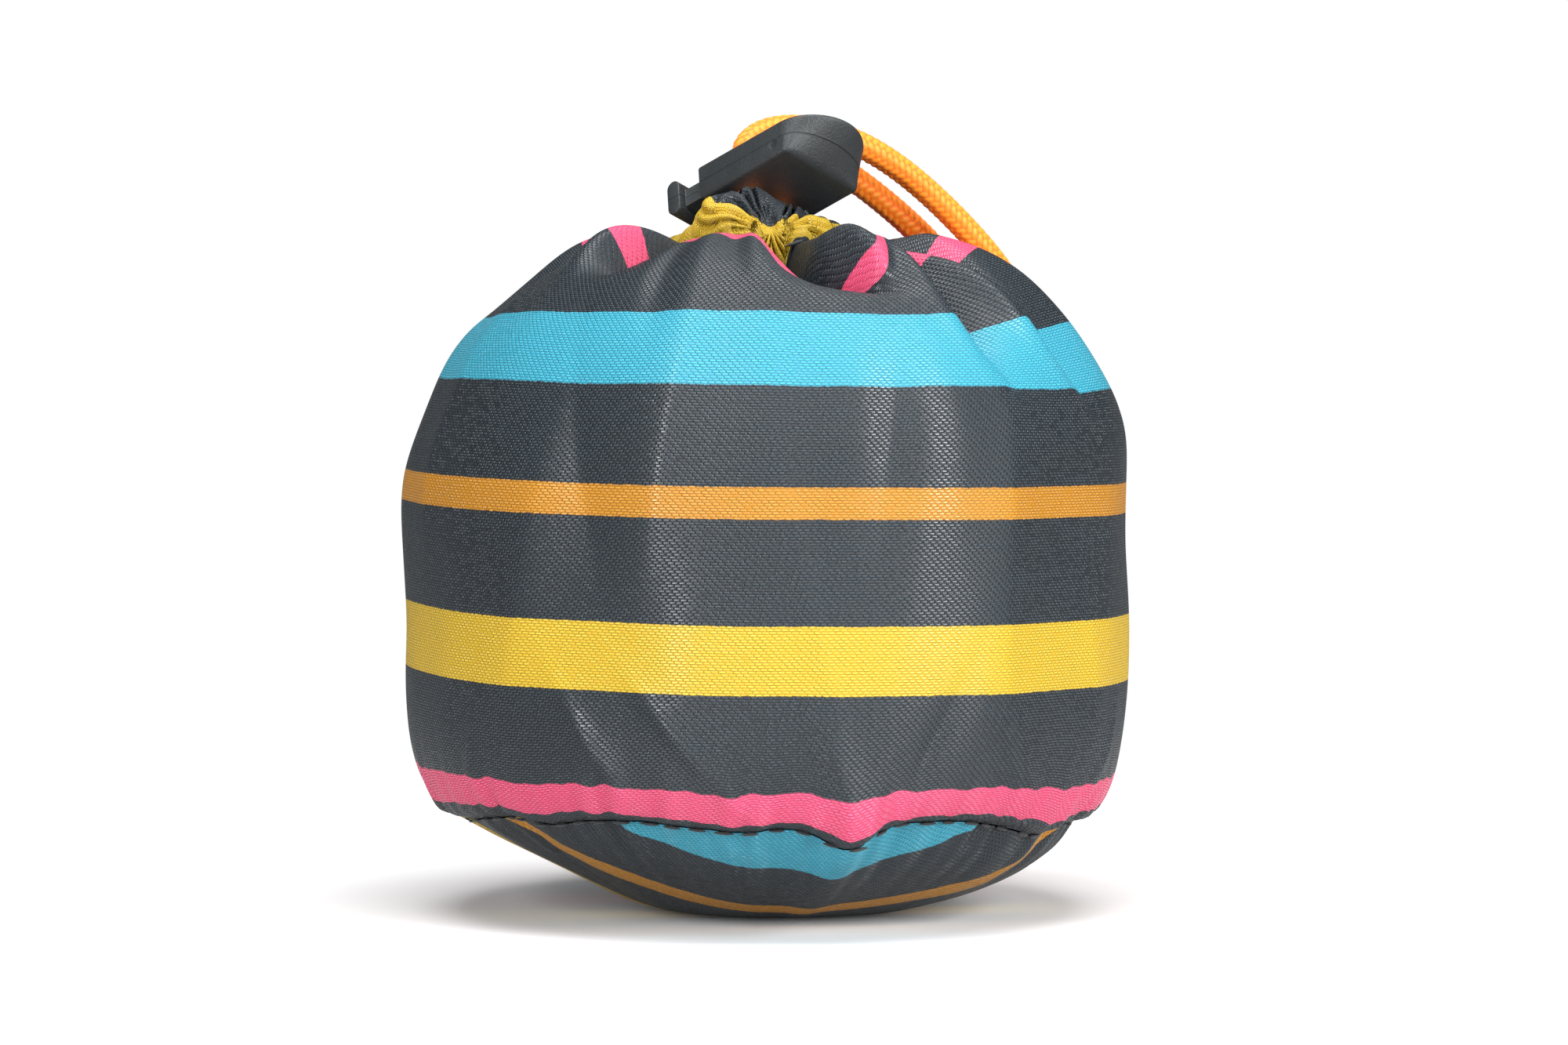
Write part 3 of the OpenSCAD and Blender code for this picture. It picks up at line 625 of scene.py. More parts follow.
# Printed stripes of the cloth, from the bottom seam up: middle and half width in mm, and colour. They repeat.
STRIPE_REPEAT = 0.090
STRIPES_MM = [(5.9, 2.6, "f4507e"), (27.8, 4.9, "e4bd1c"), (50.0, 2.25, "d28e0a"), (72.3, 5.6, "38aac6")]
STRIPE_EDGE_MM, STRIPE_BLEED = 0.12, 0.0004
CLOTH_DARK, CLOTH_PALE = paint("161d24"), paint("1e272e")
# What the gaps between the floats of yarn keep of the colour, as painted shade, and what the floats add to
# it, as painted glints
GAP_SHADE_KEEPS, FLOAT_GLINT_ADDS = (0.60, 0.58, 0.56, 1), (0.030, 0.039, 0.046, 1)
YARN_LONG, YARN_WIDE, ROW_SHIFT = 0.00105, 0.00040, 0.37
YARN_RISE, DULLEST_FLOAT = 0.00024, 0.35

satin = Finish("striped_satin", {"Specular IOR Level": 0.5, "Anisotropic": 0.8, "Anisotropic Rotation": 0.25})
weave = satin.node("ShaderNodeUVMap", {"uv_map": "weave"}, {})
weave_u = satin.node("ShaderNodeSeparateXYZ", {}, {0: weave}, "X")
weave_v = satin.node("ShaderNodeSeparateXYZ", {}, {0: weave}, "Y")
# Each row of yarn shows as short floats, and each row is shifted on the last one
rows_up = satin.attribute("yarn") / YARN_WIDE
row = rows_up.maths("FLOOR")
shifted = weave_u / YARN_LONG + row * ROW_SHIFT
float_at, row_at = shifted.maths("FRACT"), rows_up.maths("FRACT")
float_rise = float_at.ease(0.0, 0.25) - float_at.ease(0.75, 1.0)
yarn = float_rise * (row_at.ease(0.0, 0.3) - row_at.ease(0.7, 1.0))
float_id = satin.node("ShaderNodeCombineXYZ", {}, {"X": shifted.maths("FLOOR"), "Y": row})
lot = satin.node("ShaderNodeTexWhiteNoise", {"noise_dimensions": "2D"}, {"Vector": float_id}, "Value")
lit = yarn * (DULLEST_FLOAT + (1 - DULLEST_FLOAT) * lot)
shade = satin.noise(satin.places(), scale=60, detail=3)
cloth_colour = satin.mix(shade, CLOTH_DARK, CLOTH_PALE)
bleed = (satin.noise(satin.places(), scale=1500, detail=2) - 0.5) * STRIPE_BLEED
repeat_at = ((weave_v + bleed) / STRIPE_REPEAT).maths("FRACT")
for middle, half, colour in STRIPES_MM:
    off_stripe = (repeat_at * (STRIPE_REPEAT * 1000) - middle).maths("ABSOLUTE")
    on_stripe = 1 - off_stripe.ease(half - STRIPE_EDGE_MM, half + STRIPE_EDGE_MM)
    cloth_colour = satin.mix(on_stripe, cloth_colour, paint(colour))
# The gaps are darkened with painted shade and the floats lightened with painted glints, as far as lit.
shaded_gap_colour = satin.mix(1.0, cloth_colour, GAP_SHADE_KEEPS, "MULTIPLY")
glinting_float_colour = satin.mix(1.0, cloth_colour, FLOAT_GLINT_ADDS, "ADD")
satin.feed("Base Color", satin.mix(lit, shaded_gap_colour, glinting_float_colour))
satin.feed("Roughness", 0.50 - 0.26 * lit + 0.08 * (shade - 0.5))
satin.relief(lit, distance=YARN_RISE, strength=0.9)
side_cloth.data.materials.append(satin.material)


# Bottom panel. A disc of the same satin, sewn into the tube and pushed down into a shallow dome by the load.
# Its stripes run straight across, a little turned from the front.
DISC_R = 0.053
DISC_TURN = 7.5
DISC_RINGS = 90
DISC_STRIPES_FROM = 0.0236
# Outlines of the dome from its middle to the seam, as radius and height in mm: it sags more to the right
DOME_FRONT = [
    (0, 0), (6, 0.0), (12, 0.1), (17, 0.6), (22, 1.7), (27, 3.3), (33, 5.9), (38, 8.6), (42.5, 11.4),
    (46, 14.0),
]
DOME_RIGHT = [
    (0, 0), (12, 0), (20, 0.2), (26.5, 1.5), (31, 2.7), (36, 4.5), (40.6, 6.6), (45, 9.6), (48, 13.2),
]
DOME_LEFT = [
    (0, 0), (10, 0.1), (16, 0.6), (20, 1.6), (25, 4.0), (30, 6.7), (35, 9.2), (39, 11.1), (43, 13.2),
    (46, 15.0),
]
# The disc's edge lies just inside the panel's and below it, and is puckered by the sewing from this share out
EDGE_IN, EDGE_BELOW = 0.0003, 0.0002
EDGE_PUCKER, PUCKERED_FROM = 0.0005, (0.82, 0.97)
# Points of the disc's middle that are closer than this are one
MIDDLE_POINT = 1e-7

ring_share = np.linspace(0, 1, DISC_RINGS + 1)
disc_angle, disc_share = np.meshgrid(angle, ring_share)
to_right, to_left = (np.clip(side * np.sin(np.radians(disc_angle)), 0, 1) ** SIDE_BLEND for side in (1, -1))
domes = [outline_at(dome, DISC_RINGS)[:, None, :] for dome in (DOME_FRONT, DOME_RIGHT, DOME_LEFT)]
dome = domes[0] + to_right[..., None] * (domes[1] - domes[0]) + to_left[..., None] * (domes[2] - domes[0])
disc_r, disc_z = dome[..., 0], dome[..., 1]
edge_r, edge_z = panel_r[0], panel_z[0]
disc_r = disc_r + disc_share ** 5 * (edge_r - EDGE_IN - disc_r[-1])
disc_z = disc_z + disc_share ** 3 * (edge_z - EDGE_BELOW - disc_z[-1])
puckers = ring_noise(disc_angle, disc_share * 0.05, 21, (17, 26, 37))
disc_z += EDGE_PUCKER * puckers * ease(*PUCKERED_FROM, disc_share) * (1 - disc_share ** 30)
disc_z = np.maximum(disc_z, 0)
stripe_turn = np.radians(disc_angle - DISC_TURN)
disc_u = disc_share * DISC_R * np.sin(stripe_turn)
disc_v = disc_share * DISC_R * np.cos(stripe_turn) + DISC_STRIPES_FROM


def merged(mesh, distance):
    """A bmesh copy of a mesh with the points that lie in one place made one."""
    shape = bmesh.new()
    shape.from_mesh(mesh)
    bmesh.ops.remove_doubles(shape, verts=shape.verts, dist=distance)
    return shape


bottom_cloth = satin_sheet("bottom_cloth", round_points(disc_r, disc_z, disc_angle), disc_u, disc_v, 0)
whole_disc = merged(bottom_cloth.data, MIDDLE_POINT)
whole_disc.to_mesh(bottom_cloth.data)
whole_disc.free()
bottom_cloth.data.materials.append(satin.material)
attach(bottom_cloth, "sack")
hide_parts("bottom_panel")


# Channel hem. The top of the side panel, folded over the cord and sewn down into a tunnel, then pushed
# together on the cord: it stands up in a ruffle of tight pleats, highest in two puffs at the front.
HEM_ROWS = 64
# Pleats round the ruffle: how many, how far they stray from even places, depths, half width and sharpness
HEM_PLEATS, HEM_SEED = 30, 17
HEM_STRAY, HEM_DEPTHS = 0.32, (0.6, 1.0)
HEM_PLEAT_HALF, HEM_PLEAT_SHARP = 2.6, 1.3
# The front, to these angles on both sides, has shallower pleats
FRONT_TO, FRONT_SHALLOWER = (30, 46), 0.75
# Course of the ruffle's top edge and of its yellow stripe's upper edge: angle from the front and height in mm
HEM_TOP_COURSE = [
    (-180, 102.6), (-140, 102.4), (-100, 101.6), (-70, 101.8), (-58, 102.3), (-48, 104.0), (-39, 107.0),
    (-30, 107.8), (-20, 108.6), (-14, 109.1), (-5, 109.3), (2, 108.2), (10, 106.9), (18, 106.4),
    (27, 105.6), (38, 104.8), (50, 103.8), (65, 103.0), (90, 102.6), (180, 102.6),
]
HEM_YELLOW_COURSE = [
    (-180, 102), (-60, 103), (-48, 104.2), (-40, 106.6), (-33, 107.2), (-26, 106.6), (-18, 105.8),
    (-10, 105.0), (-3, 103.8), (4, 102.8), (9, 103.8), (20, 104.5), (34, 104.2), (46, 103.2), (60, 102),
    (90, 101.5), (180, 102),
]
# Height on the cloth where the hem starts and where the yellow stripe ends
HEM_STARTS, YELLOW_ENDS = 0.1095, 0.1227
# Where the creases of the two front puffs run together: angle from the front and height in mm
PINCH_ANGLE, PINCH_Z = 4.0, 102.9
PINCH_DEPTH, PINCH_HALF = 1.5, 1.7
# The creases: degrees from one to the next, how they sway, their depth and sharpness, how far out from the
# pinch they open, and between which lengths up the hem they are. A degree round the hem is HEM_DEGREE mm.
FAN_STEP, FAN_SWAY, FAN_SWAYS = 14, 4, 0.8
FAN_DEPTH, FAN_SHARP, FAN_OPENS = 1.7, 1.4, (0.4, 3.0)
FAN_STARTS, FAN_ENDS = (0.002, 0.004), (0.010, 0.013)
HEM_DEGREE = 0.27
# The puffs stand out by this share of their height over the level of the neck
PUFF_SHARE, PUFF_FROM = 0.25, 102

rng = np.random.default_rng(HEM_SEED)
stray = rng.uniform(-HEM_STRAY, HEM_STRAY, HEM_PLEATS)
pleat_angles = (np.arange(HEM_PLEATS) + stray) * 360 / HEM_PLEATS - 180
pleat_depths = rng.uniform(*HEM_DEPTHS, HEM_PLEATS)
at_front = 1 - ease(*FRONT_TO, np.abs(angle))
pleat = np.zeros(PANEL_COLUMNS)
for centre, deep in zip(pleat_angles, pleat_depths):
    off = np.abs(turned_from(angle, centre)) / HEM_PLEAT_HALF
    pleat = np.maximum(pleat, deep * np.exp(-off ** HEM_PLEAT_SHARP))
pleat *= 1 - FRONT_SHALLOWER * at_front


def course_at(course):
    """Height of a course at every column, rounded between its points."""
    at, height = np.array(course).T
    return np.mean([np.interp(turned_from(angle + d, 0), at, height) for d in range(-5, 6)], axis=0)


hem_top, yellow_top = course_at(HEM_TOP_COURSE), course_at(HEM_YELLOW_COURSE)
hem_rings = []
for i in range(PANEL_COLUMNS):
    # Height of the top edge, height of the yellow stripe's upper edge, and depth of the pleats
    top, bright, p = hem_top[i], yellow_top[i], pleat[i]
    low_neck = (panel_r[-1, i] * 1000, panel_z[-1, i] * 1000)
    puffed = PUFF_SHARE * (bright - PUFF_FROM)
    # At the back the cloth stands round the cord, at the front it is folded tight before the rising strands
    back = np.array([
        low_neck, (15.9 - p, 99.8), (15.7 - 1.6 * p, top - 2.6 - p), (15.2 - 1.4 * p, top - 1.5 - 1.1 * p),
        (14.4 - 1.3 * p, top - 0.6 - 1.2 * p), (12.6, top - 1.2 * p), (11.4 + 0.3 * p, top - 0.3 - 1.2 * p),
        (10.2 + 0.7 * p, top - 1.0 - 1.2 * p), (8.6 + 0.8 * p, top - 3.0 - p), (8.0 + 0.5 * p, 99.6),
        (8.4, 97.0),
    ])
    front = np.array([
        low_neck, (15.9 - p, 99.8), (16.0 + puffed - p, bright - 2.4),
        (15.7 + 0.8 * puffed - p, bright - 1.0), (14.8 + 0.4 * puffed - p, bright - 0.1),
        (13.4, (bright + top) / 2), (12.5, top - 0.1), (11.8, top - 0.5), (12.2, top - 2.5), (13.1, 101.6),
        (13.4, 99.0),
    ])
    stand = (1 - at_front[i]) * back + at_front[i] * front
    hem_rings.append(outline_at(stand, HEM_ROWS))
hem_rings = np.array(hem_rings).transpose(1, 0, 2)
hem_angle = np.tile(angle, (HEM_ROWS + 1, 1))
hem_steps = np.linalg.norm(np.diff(hem_rings, axis=0), axis=2)
hem_climb = np.concatenate([np.zeros((1, PANEL_COLUMNS)), np.cumsum(hem_steps, axis=0)])
up_face = hem_rings[:, :, 1].argmax(axis=0)
yellow_climb = np.array([
    np.interp(yellow_top[i] / 1000, hem_rings[:up_face[i] + 1, i, 1], hem_climb[:up_face[i] + 1, i])
    for i in range(PANEL_COLUMNS)
])
in_yellow = HEM_STARTS + hem_climb / yellow_climb * (YELLOW_ENDS - HEM_STARTS)
hem_v = np.where(hem_climb < yellow_climb, in_yellow, YELLOW_ENDS + hem_climb - yellow_climb)

# The front puffs fan out from the pinch in fine creases
fan_x, fan_z = turned_from(hem_angle, PINCH_ANGLE) * HEM_DEGREE, hem_rings[..., 1] * 1000 - PINCH_Z
fan_out = np.hypot(fan_x, fan_z)
fan_turn = np.degrees(np.arctan2(fan_z, np.abs(fan_x))) + FAN_SWAY * np.sin(FAN_SWAYS * fan_out)
crease = (1 - np.abs(np.sin(np.radians(180 * fan_turn / FAN_STEP)))) ** FAN_SHARP
sink = FAN_DEPTH * crease * ease(*FAN_OPENS, fan_out) + PINCH_DEPTH * np.exp(-(fan_out / PINCH_HALF) ** 2)
sink *= at_front * ease(*FAN_STARTS, hem_climb) * (1 - ease(*FAN_ENDS, hem_climb)) / 1000
hem_run = np.gradient(hem_rings, axis=0)
hem_run /= np.linalg.norm(hem_run, axis=2, keepdims=True)
hem_rings = hem_rings + sink[..., None] * np.stack([-hem_run[..., 1], hem_run[..., 0]], axis=2)
hem_cloth = satin_sheet("hem_cloth", round_points(hem_rings[..., 0], hem_rings[..., 1], hem_angle),
                        hem_angle / 360 * SATIN_AROUND, hem_v, SATIN_AROUND)
hem_cloth.data.materials.append(satin.material)
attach(hem_cloth, "sack")
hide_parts("channel_hem")


# Sewing. Black polyester thread: an overlock row that shows as small dashes in the groove of the bottom seam,
# a row under the tunnel, hidden in the gathers, and a row down the back.
THREAD_D = 0.0005
STITCH = 0.0026
STITCH_VARIES = (0.8, 1.15)
SEAM_STITCHES, CHANNEL_STITCHES, BACK_STITCHES = 78, 34, 28
# How far each row stands out of the cloth, and how far the bottom row lies below the panel's edge
THREAD_OUT, BACK_THREAD_OUT, THREAD_BELOW = 0.0002, 0.0001, 0.0003
# Ring of the hem and rows of the side panel that are sewn
CHANNEL_RING, BACK_ROWS = 3, (6, 118)


def stitch_nodes():
    """Geometry nodes that lay one stitch along each point's own direction."""
    tree = bpy.data.node_groups.new("stitch_row", "GeometryNodeTree")
    for name, kind in (("Geometry", "Geometry"), ("Stitch Length", "Float"), ("Thread Diameter", "Float"),
                       ("Seed", "Int"), ("Thread", "Material")):
        tree.interface.new_socket(name, in_out="INPUT", socket_type="NodeSocket" + kind)
    tree.interface.new_socket("Geometry", in_out="OUTPUT", socket_type="NodeSocketGeometry")
    stitches = Nodes(tree)

    def given(name):
        return stitches.node("NodeGroupInput", {}, {}, name)

    points = stitches.node("GeometryNodeMeshToPoints", {}, {"Mesh": given("Geometry")})
    stitch = stitches.node("GeometryNodeMeshUVSphere", {}, {"Segments": 8, "Rings": 6, "Radius": 0.5}, "Mesh")
    along = stitches.node("GeometryNodeInputNamedAttribute", {"data_type": "FLOAT_VECTOR"}, {"Name": "along"},
                          "Attribute")
    turn = stitches.node("FunctionNodeAlignRotationToVector", {"axis": "Z"}, {"Vector": along})
    shortest, longest = STITCH_VARIES
    vary = stitches.node("FunctionNodeRandomValue", {"data_type": "FLOAT"},
                         {2: shortest, 3: longest, "Seed": given("Seed")}, 1)
    size = stitches.node("ShaderNodeCombineXYZ", {}, {
        "X": given("Thread Diameter"), "Y": given("Thread Diameter"), "Z": vary * given("Stitch Length")})
    laid = stitches.node("GeometryNodeInstanceOnPoints", {}, {
        "Points": points, "Instance": stitch, "Rotation": turn, "Scale": size})
    real = stitches.node("GeometryNodeRealizeInstances", {}, {"Geometry": laid})
    smooth = stitches.node("GeometryNodeSetShadeSmooth", {}, {"Geometry": real})
    black = stitches.node("GeometryNodeSetMaterial", {}, {"Geometry": smooth, "Material": given("Thread")})
    stitches.node("NodeGroupOutput", {}, {"Geometry": black})
    return tree


thread_finish = Finish("polyester_thread", {"Roughness": 0.6, "Sheen Weight": 0.2})
twist = thread_finish.noise(thread_finish.places(), scale=3000, detail=2)
thread_finish.feed("Base Color", thread_finish.mix(twist, paint("101214"), paint("24272b")))
thread_finish.relief(twist, distance=0.00006)
stitch_tree = stitch_nodes()


def stitch_row(name, points, seed, node):
    """A row of stitches through a list of points, as one piece of the sack that stands for a CAD node."""
    mesh = bpy.data.meshes.new(name + "_points")
    mesh.from_pydata(points.tolist(), [], [])
    keep_on_points(mesh, "along", np.gradient(points, axis=0), "FLOAT_VECTOR", "vector")
    holder = link(bpy.data.objects.new(name + "_points", mesh))
    modifier = holder.modifiers.new("stitches", "NODES")
    modifier.node_group = stitch_tree
    values = {"Stitch Length": STITCH, "Thread Diameter": THREAD_D, "Seed": seed,
              "Thread": thread_finish.material}
    for item in stitch_tree.interface.items_tree:
        if item.in_out == "INPUT" and item.name in values:
            modifier[item.identifier] = values[item.name]
    holder.update_tag()
    depsgraph = bpy.context.evaluated_depsgraph_get()
    row = link(bpy.data.objects.new(name, bpy.data.meshes.new_from_object(holder.evaluated_get(depsgraph))))
    row.data.name = name
    bpy.data.objects.remove(holder)
    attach(row, "sack")
    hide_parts(node)


def round_row(r, z, count):
    """Evenly spaced points on a ring of cloth, whose radius and height are given at each column's angle."""
    at = np.linspace(-180.0, 180.0, count)
    return round_points(np.interp(at, angle, r, period=360), np.interp(at, angle, z, period=360), at)


bottom_row = round_row(panel_r[0] + THREAD_OUT, panel_z[0] - THREAD_BELOW, SEAM_STITCHES)
stitch_row("bottom_seam_stitches", bottom_row, seed=3, node="bottom_seam_thread")
channel_r, channel_z = hem_rings[CHANNEL_RING].T
channel_row = round_row(channel_r + THREAD_OUT, channel_z, CHANNEL_STITCHES)
stitch_row("channel_stitches", channel_row, seed=4, node="channel_thread")
sewn = np.linspace(*BACK_ROWS, BACK_STITCHES).astype(int)
back_row = round_points(panel_r[sewn, 0] + BACK_THREAD_OUT, panel_z[sewn, 0], np.full(BACK_STITCHES, 180.0))
stitch_row("side_seam_stitches", back_row, seed=5, node="side_seam_thread")


# Cord lock. A moulded body with two cord holes and a nose that leans back under its rounded upper edge,
# a tongue with a head that slides in it, and the coil spring behind the tongue.
LOCK_MOUTH, LOCK_STRAIGHT, LOCK_NOSE = -0.0051, 0.01225, 0.006
LOCK_HALF = 0.00805
LOCK_EDGE, LOCK_CORNER = 0.0007, 0.0009
CAVITY_BACK, CAVITY_HALF, CAVITY_T = 0.0075, 0.0068, 0.00335
HOLE_R, POCKET_R, POCKET_BACK = 0.0024, 0.001675, 0.0123
HOLE_EDGE, TONGUE_EDGE = 0.00025, 0.00045
NOSE_POINTS, RIM_POINTS = 49, 6
LOCK_AROUND = NOSE_POINTS + 2
# How far a cutter reaches past the face that it opens
MOUTH_PAST, POCKET_PAST = 0.002, 0.001
# Points of a moulding that are closer than this are one
SAME_POINT = 1e-6


def lock_outline(nose_share, inset):
    """The body's outline in its own plane, with part of its nose and drawn in all round."""
    y = LOCK_HALF * np.sin(np.linspace(-math.pi / 2, math.pi / 2, NOSE_POINTS))
    nose_r = (LOCK_HALF ** 2 + LOCK_NOSE ** 2) / (2 * LOCK_NOSE)
    bulge = LOCK_NOSE - nose_r + np.sqrt(nose_r ** 2 - y ** 2)
    past = np.clip(np.abs(y) - (LOCK_HALF - LOCK_CORNER), 0, LOCK_CORNER)
    corner = LOCK_CORNER - np.sqrt(LOCK_CORNER ** 2 - past ** 2)
    end = np.stack([LOCK_STRAIGHT + nose_share * bulge - corner, y], axis=1)
    mouth = np.array([(LOCK_MOUTH, LOCK_HALF), (LOCK_MOUTH, -LOCK_HALF)])
    line = np.concatenate([end, mouth])
    run = np.roll(line, -1, axis=0) - np.roll(line, 1, axis=0)
    run /= np.linalg.norm(run, axis=1)[:, None]
    return line + inset * np.stack([-run[:, 1], run[:, 0]], axis=1)


def rim_rings():
    """Height of each ring of the body and how far it is drawn in, so that both faces have round rims."""
    turns = np.linspace(math.pi / 2, 0, RIM_POINTS)
    lower = [(LOCK_EDGE * (1 - math.sin(t)), LOCK_EDGE * (1 - math.cos(t))) for t in turns]
    upper = [(LOCK_T - z, inset) for z, inset in lower[::-1]]
    return lower + [(LOCK_T * share, 0.0) for share in (0.3, 0.5, 0.7)] + upper


def lock_solid():
    """The body without its hollows: its nose grows from nothing at the lower face to all at the upper."""
    rings = [np.column_stack([lock_outline(z / LOCK_T, inset), np.full(LOCK_AROUND, z - LOCK_T / 2)])
             for z, inset in rim_rings()]
    mesh = bpy.data.meshes.new("lock_solid")
    mesh.from_pydata(np.concatenate(rings).tolist(), [], tube_faces(len(rings), LOCK_AROUND))
    return link(bpy.data.objects.new("lock_solid", mesh))


def as_mesh(name, shape):
    """A mesh of a bmesh shape, which is used up."""
    mesh = bpy.data.meshes.new(name)
    shape.to_mesh(mesh)
    shape.free()
    return mesh


def hollow_block(low, high):
    low, high = Vector(low), Vector(high)
    place = Matrix.Translation((low + high) / 2) @ Matrix.Diagonal((high - low).to_4d())
    shape = bmesh.new()
    bmesh.ops.create_cube(shape, size=1, matrix=place)
    return link(bpy.data.objects.new("hollow", as_mesh("hollow", shape)))


def hollow_bar(radius, first, last):
    first, last = Vector(first), Vector(last)
    turn = (last - first).to_track_quat("Z", "Y").to_matrix().to_4x4()
    shape = bmesh.new()
    bmesh.ops.create_cone(shape, cap_ends=True, segments=64, radius1=radius, radius2=radius,
                          depth=(last - first).length, matrix=Matrix.Translation((first + last) / 2) @ turn)
    return link(bpy.data.objects.new("hollow", as_mesh("hollow", shape)))


def cut_lock():
    """The body with its cavity, cord holes and spring pocket, in the sack's frame."""
    solid = lock_solid()
    hollows = [
        hollow_block((LOCK_MOUTH - MOUTH_PAST, -CAVITY_HALF, -CAVITY_T / 2),
                     (CAVITY_BACK, CAVITY_HALF, CAVITY_T / 2)),
        hollow_bar(HOLE_R, (0, -HOLE_PITCH / 2, -LOCK_T), (0, -HOLE_PITCH / 2, LOCK_T)),
        hollow_bar(HOLE_R, (0, HOLE_PITCH / 2, -LOCK_T), (0, HOLE_PITCH / 2, LOCK_T)),
        hollow_bar(POCKET_R, (CAVITY_BACK - POCKET_PAST, 0, 0), (POCKET_BACK, 0, 0)),
    ]
    for cutter in hollows:
        cut = solid.modifiers.new("hollow", "BOOLEAN")
        cut.operation, cut.solver, cut.object = "DIFFERENCE", "EXACT", cutter
    mesh = bpy.data.meshes.new_from_object(solid.evaluated_get(bpy.context.evaluated_depsgraph_get()))
    for used in (solid, *hollows):
        bpy.data.objects.remove(used)
    mesh.transform(Matrix.Translation(LOCK_AT) @ LOCK_TURN.to_4x4())
    return mesh


def moulded(name, source, rounding, node, body):
    """A shape with its points merged and its sharp edges rounded, as a piece that stands for a CAD node."""
    shape = merged(source, SAME_POINT)
    bmesh.ops.dissolve_limit(shape, angle_limit=math.radians(1), verts=shape.verts, edges=shape.edges)
    sharp = [e for e in shape.edges if len(e.link_faces) == 2 and e.calc_face_angle() > math.radians(30)]
    bmesh.ops.bevel(shape, geom=sharp, offset=rounding, offset_type="OFFSET", segments=3, profile=0.5,
                    affect="EDGES", clamp_overlap=True)
    bmesh.ops.triangulate(shape, faces=[f for f in shape.faces if len(f.verts) > 4])
    mesh = as_mesh(name, shape)
    places = [LOCK_TURN.transposed() @ (v.co - LOCK_AT) for v in mesh.vertices]
    keep_on_points(mesh, "lock_place", places, "FLOAT_VECTOR", "vector")
    mesh.polygons.foreach_set("use_smooth", [True] * len(mesh.polygons))
    mesh.set_sharp_from_angle(angle=math.radians(28))
    piece = link(bpy.data.objects.new(name, mesh))
    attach(piece, body)
    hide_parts(node)
    return piece


lock_body = moulded("lock_body", cut_lock(), HOLE_EDGE, "cord_lock_body", "lock")
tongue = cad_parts["cord_lock_plunger"].data
plunger = moulded("plunger", tongue, TONGUE_EDGE, "cord_lock_plunger", "plunger")
# The moulding shrank a little at one place of the narrow side, into a dent that painted shade darkens
SINK_MARK = (0.0097, -0.00805, -0.0007)
PLASTIC_DARK, PLASTIC_WORN, GROOVE_SHADE_BLACK = paint("24282a"), paint("303537"), paint("0c0d0e")
plastic = Finish("moulded_plastic", {"Specular IOR Level": 0.45})
grain = plastic.noise(plastic.places(), scale=2600, detail=3, roughness=0.6)
wear = plastic.noise(plastic.places(), scale=300, detail=3)
lock_place = plastic.attribute("lock_place", "Vector")
level = plastic.node("ShaderNodeSeparateXYZ", {}, {0: lock_place}, "Z")
parting_groove_and_shade = 1 - level.maths("ABSOLUTE").ease(0.00004, 0.00014)
from_mark = plastic.node(
    "ShaderNodeVectorMath", {"operation": "DISTANCE"}, {0: lock_place, 1: SINK_MARK}, "Value")
sink_dent_and_shade = 1 - from_mark.ease(0.0003, 0.0010)
# Painted shade: the parting line's groove and the sink mark's dent are darkened toward near black.
plastic.feed("Base Color", plastic.mix(
    parting_groove_and_shade * 0.5 + sink_dent_and_shade * 0.3, plastic.mix(wear, PLASTIC_DARK, PLASTIC_WORN), GROOVE_SHADE_BLACK))
plastic.feed("Roughness", 0.42 + 0.16 * grain + 0.08 * (wear - 0.5))
plastic.relief(grain - 0.8 * parting_groove_and_shade - 1.5 * sink_dent_and_shade, distance=0.00014, strength=0.7)
for piece in (lock_body, plunger):
    piece.data.materials.append(plastic.material)

steel = Finish("drawn_wire", {"Metallic": 1.0, "Base Color": paint("c4c6c8")})
steel.feed("Roughness", 0.25 + 0.15 * steel.noise(steel.places(), scale=4000, detail=2))
spring_mesh = as_mesh("spring", merged(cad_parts["cord_lock_spring"].data, SAME_POINT))
spring_mesh.polygons.foreach_set("use_smooth", [True] * len(spring_mesh.polygons))
spring_mesh.set_sharp_from_angle(angle=math.radians(40))
spring_mesh.materials.append(steel.material)
spring = link(bpy.data.objects.new("spring", spring_mesh))
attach(spring, "lock")
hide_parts("cord_lock_spring")
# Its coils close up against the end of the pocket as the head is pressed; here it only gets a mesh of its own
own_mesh(spring)


# Room. The sack stands on a pale floor that runs out into white, between soft boxes at both sides and under
# a third one.
floor_mesh = bpy.data.meshes.new("floor")
floor_mesh.from_pydata([(-3, -2, 0), (3, -2, 0), (3, 4, 0), (-3, 4, 0)], [], [(0, 1, 2, 3)])
floor = link(bpy.data.objects.new("floor", floor_mesh))
# What the far floor and the room give to the sack; the camera sees both as white
FLOOR_LIGHT, WORLD_LIGHT = 0.20, 0.15
FLOOR_LIT, FLOOR_SEEN = paint("c8c8c8"), paint("f6f6f6")
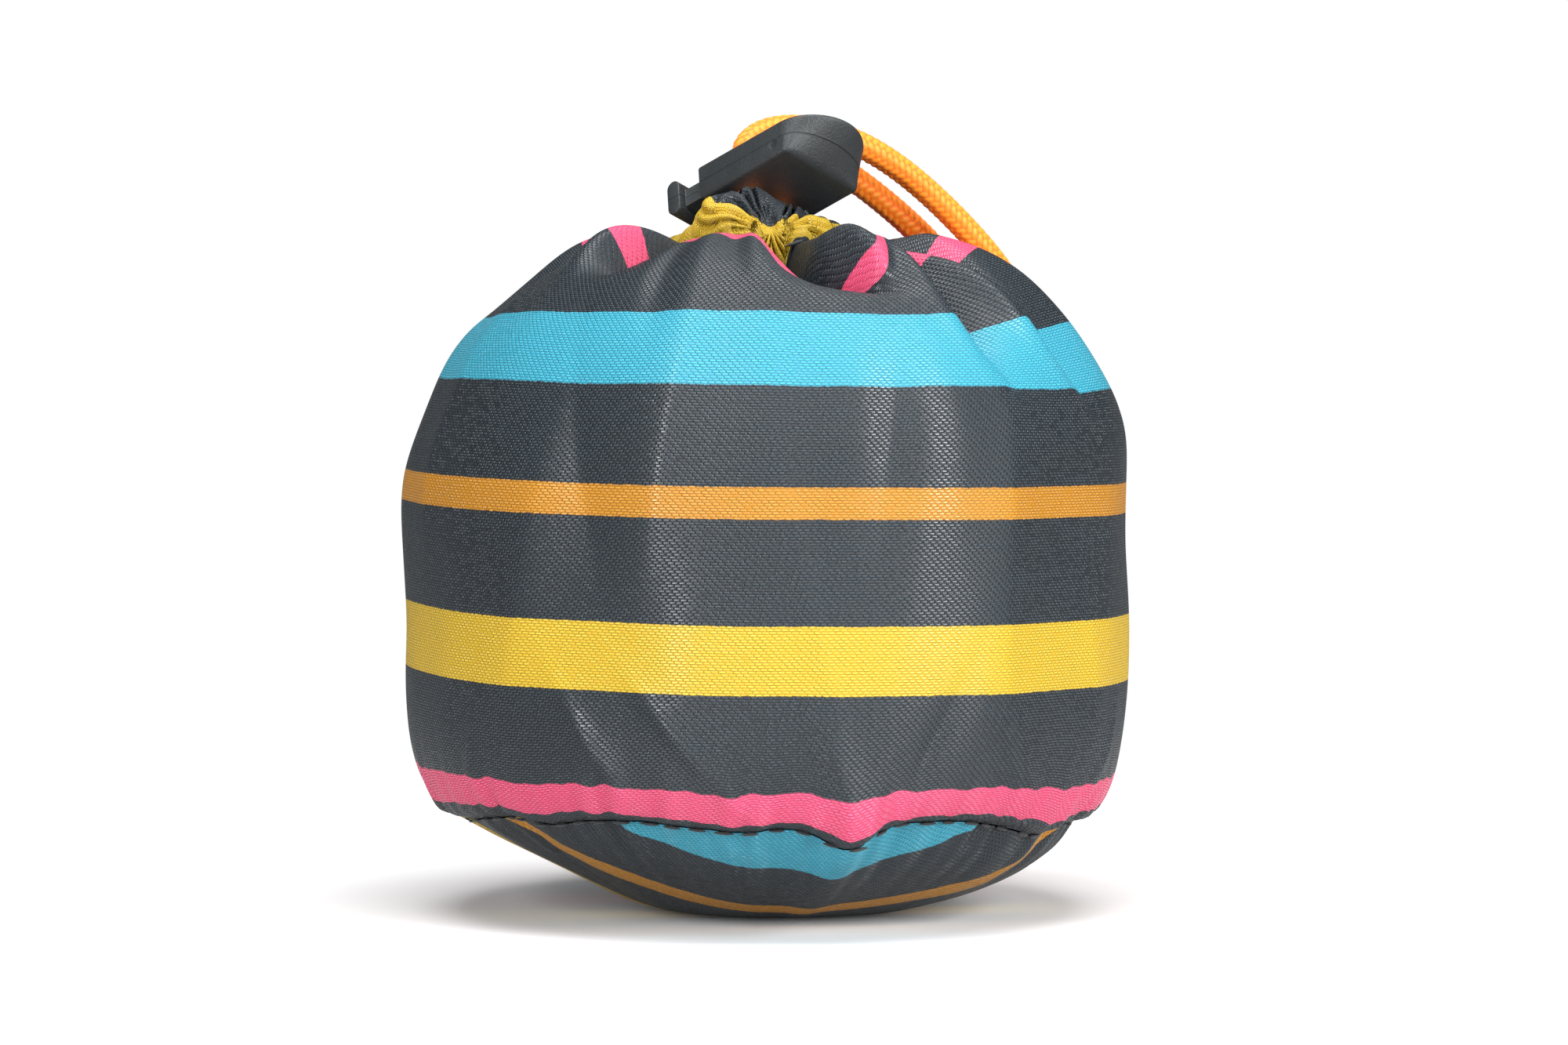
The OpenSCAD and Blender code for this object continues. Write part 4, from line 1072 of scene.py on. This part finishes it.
# Far from the sack the floor is plain white, so that no horizon shows
FLOOR_FADES = (0.10, 0.30)
floor_finish = Finish("pale_floor", {"Roughness": 0.9, "Specular IOR Level": 0.1})
away = floor_finish.node("ShaderNodeVectorMath", {"operation": "LENGTH"}, {0: floor_finish.places()}, "Value")
seen = floor_finish.node("ShaderNodeLightPath", {}, {}, "Is Camera Ray")
glow = floor_finish.node("ShaderNodeEmission", {}, {"Strength": FLOOR_LIGHT + (1 - FLOOR_LIGHT) * seen})
floor_finish.feed("Base Color", floor_finish.mix(seen, FLOOR_LIT, FLOOR_SEEN))
near = Value(floor_finish, floor_finish.shader.outputs[0])
fade = floor_finish.node("ShaderNodeMixShader", {}, {0: away.ease(*FLOOR_FADES), 1: near, 2: glow})
floor_finish.put(floor_finish.tree.nodes["Material Output"].inputs["Surface"], fade)
floor_mesh.materials.append(floor_finish.material)

world = bpy.data.worlds.new("world")
bpy.context.scene.world = world
world.use_nodes = True
sky = Nodes(world.node_tree)
sky_seen = sky.node("ShaderNodeLightPath", {}, {}, "Is Camera Ray")
background = sky.tree.nodes["Background"]
sky.put(background.inputs["Strength"],
        sky.node("ShaderNodeMapRange", {}, {"Value": sky_seen, "To Min": WORLD_LIGHT}))
sky.put(background.inputs["Color"], (1, 1, 1, 1))


def soft_box(name, place, aim, width, height, watts):
    data = bpy.data.lights.new(name, "AREA")
    data.shape, data.size, data.size_y, data.energy = "RECTANGLE", width, height, watts
    lamp = link(bpy.data.objects.new(name, data))
    lamp.location = place
    lamp.rotation_euler = (Vector(aim) - Vector(place)).to_track_quat("-Z", "Y").to_euler()


SACK_MIDDLE = (0, 0, 0.06)
soft_box("left_box", (-0.42, -0.66, 0.22), SACK_MIDDLE, width=0.13, height=0.6, watts=6.0)
soft_box("right_box", (0.58, -0.52, 0.28), SACK_MIDDLE, width=0.26, height=0.6, watts=9.5)
soft_box("top_box", (0.0, -0.15, 0.78), SACK_MIDDLE, width=0.6, height=0.5, watts=7.5)
bpy.context.scene.view_settings.view_transform = "Standard"
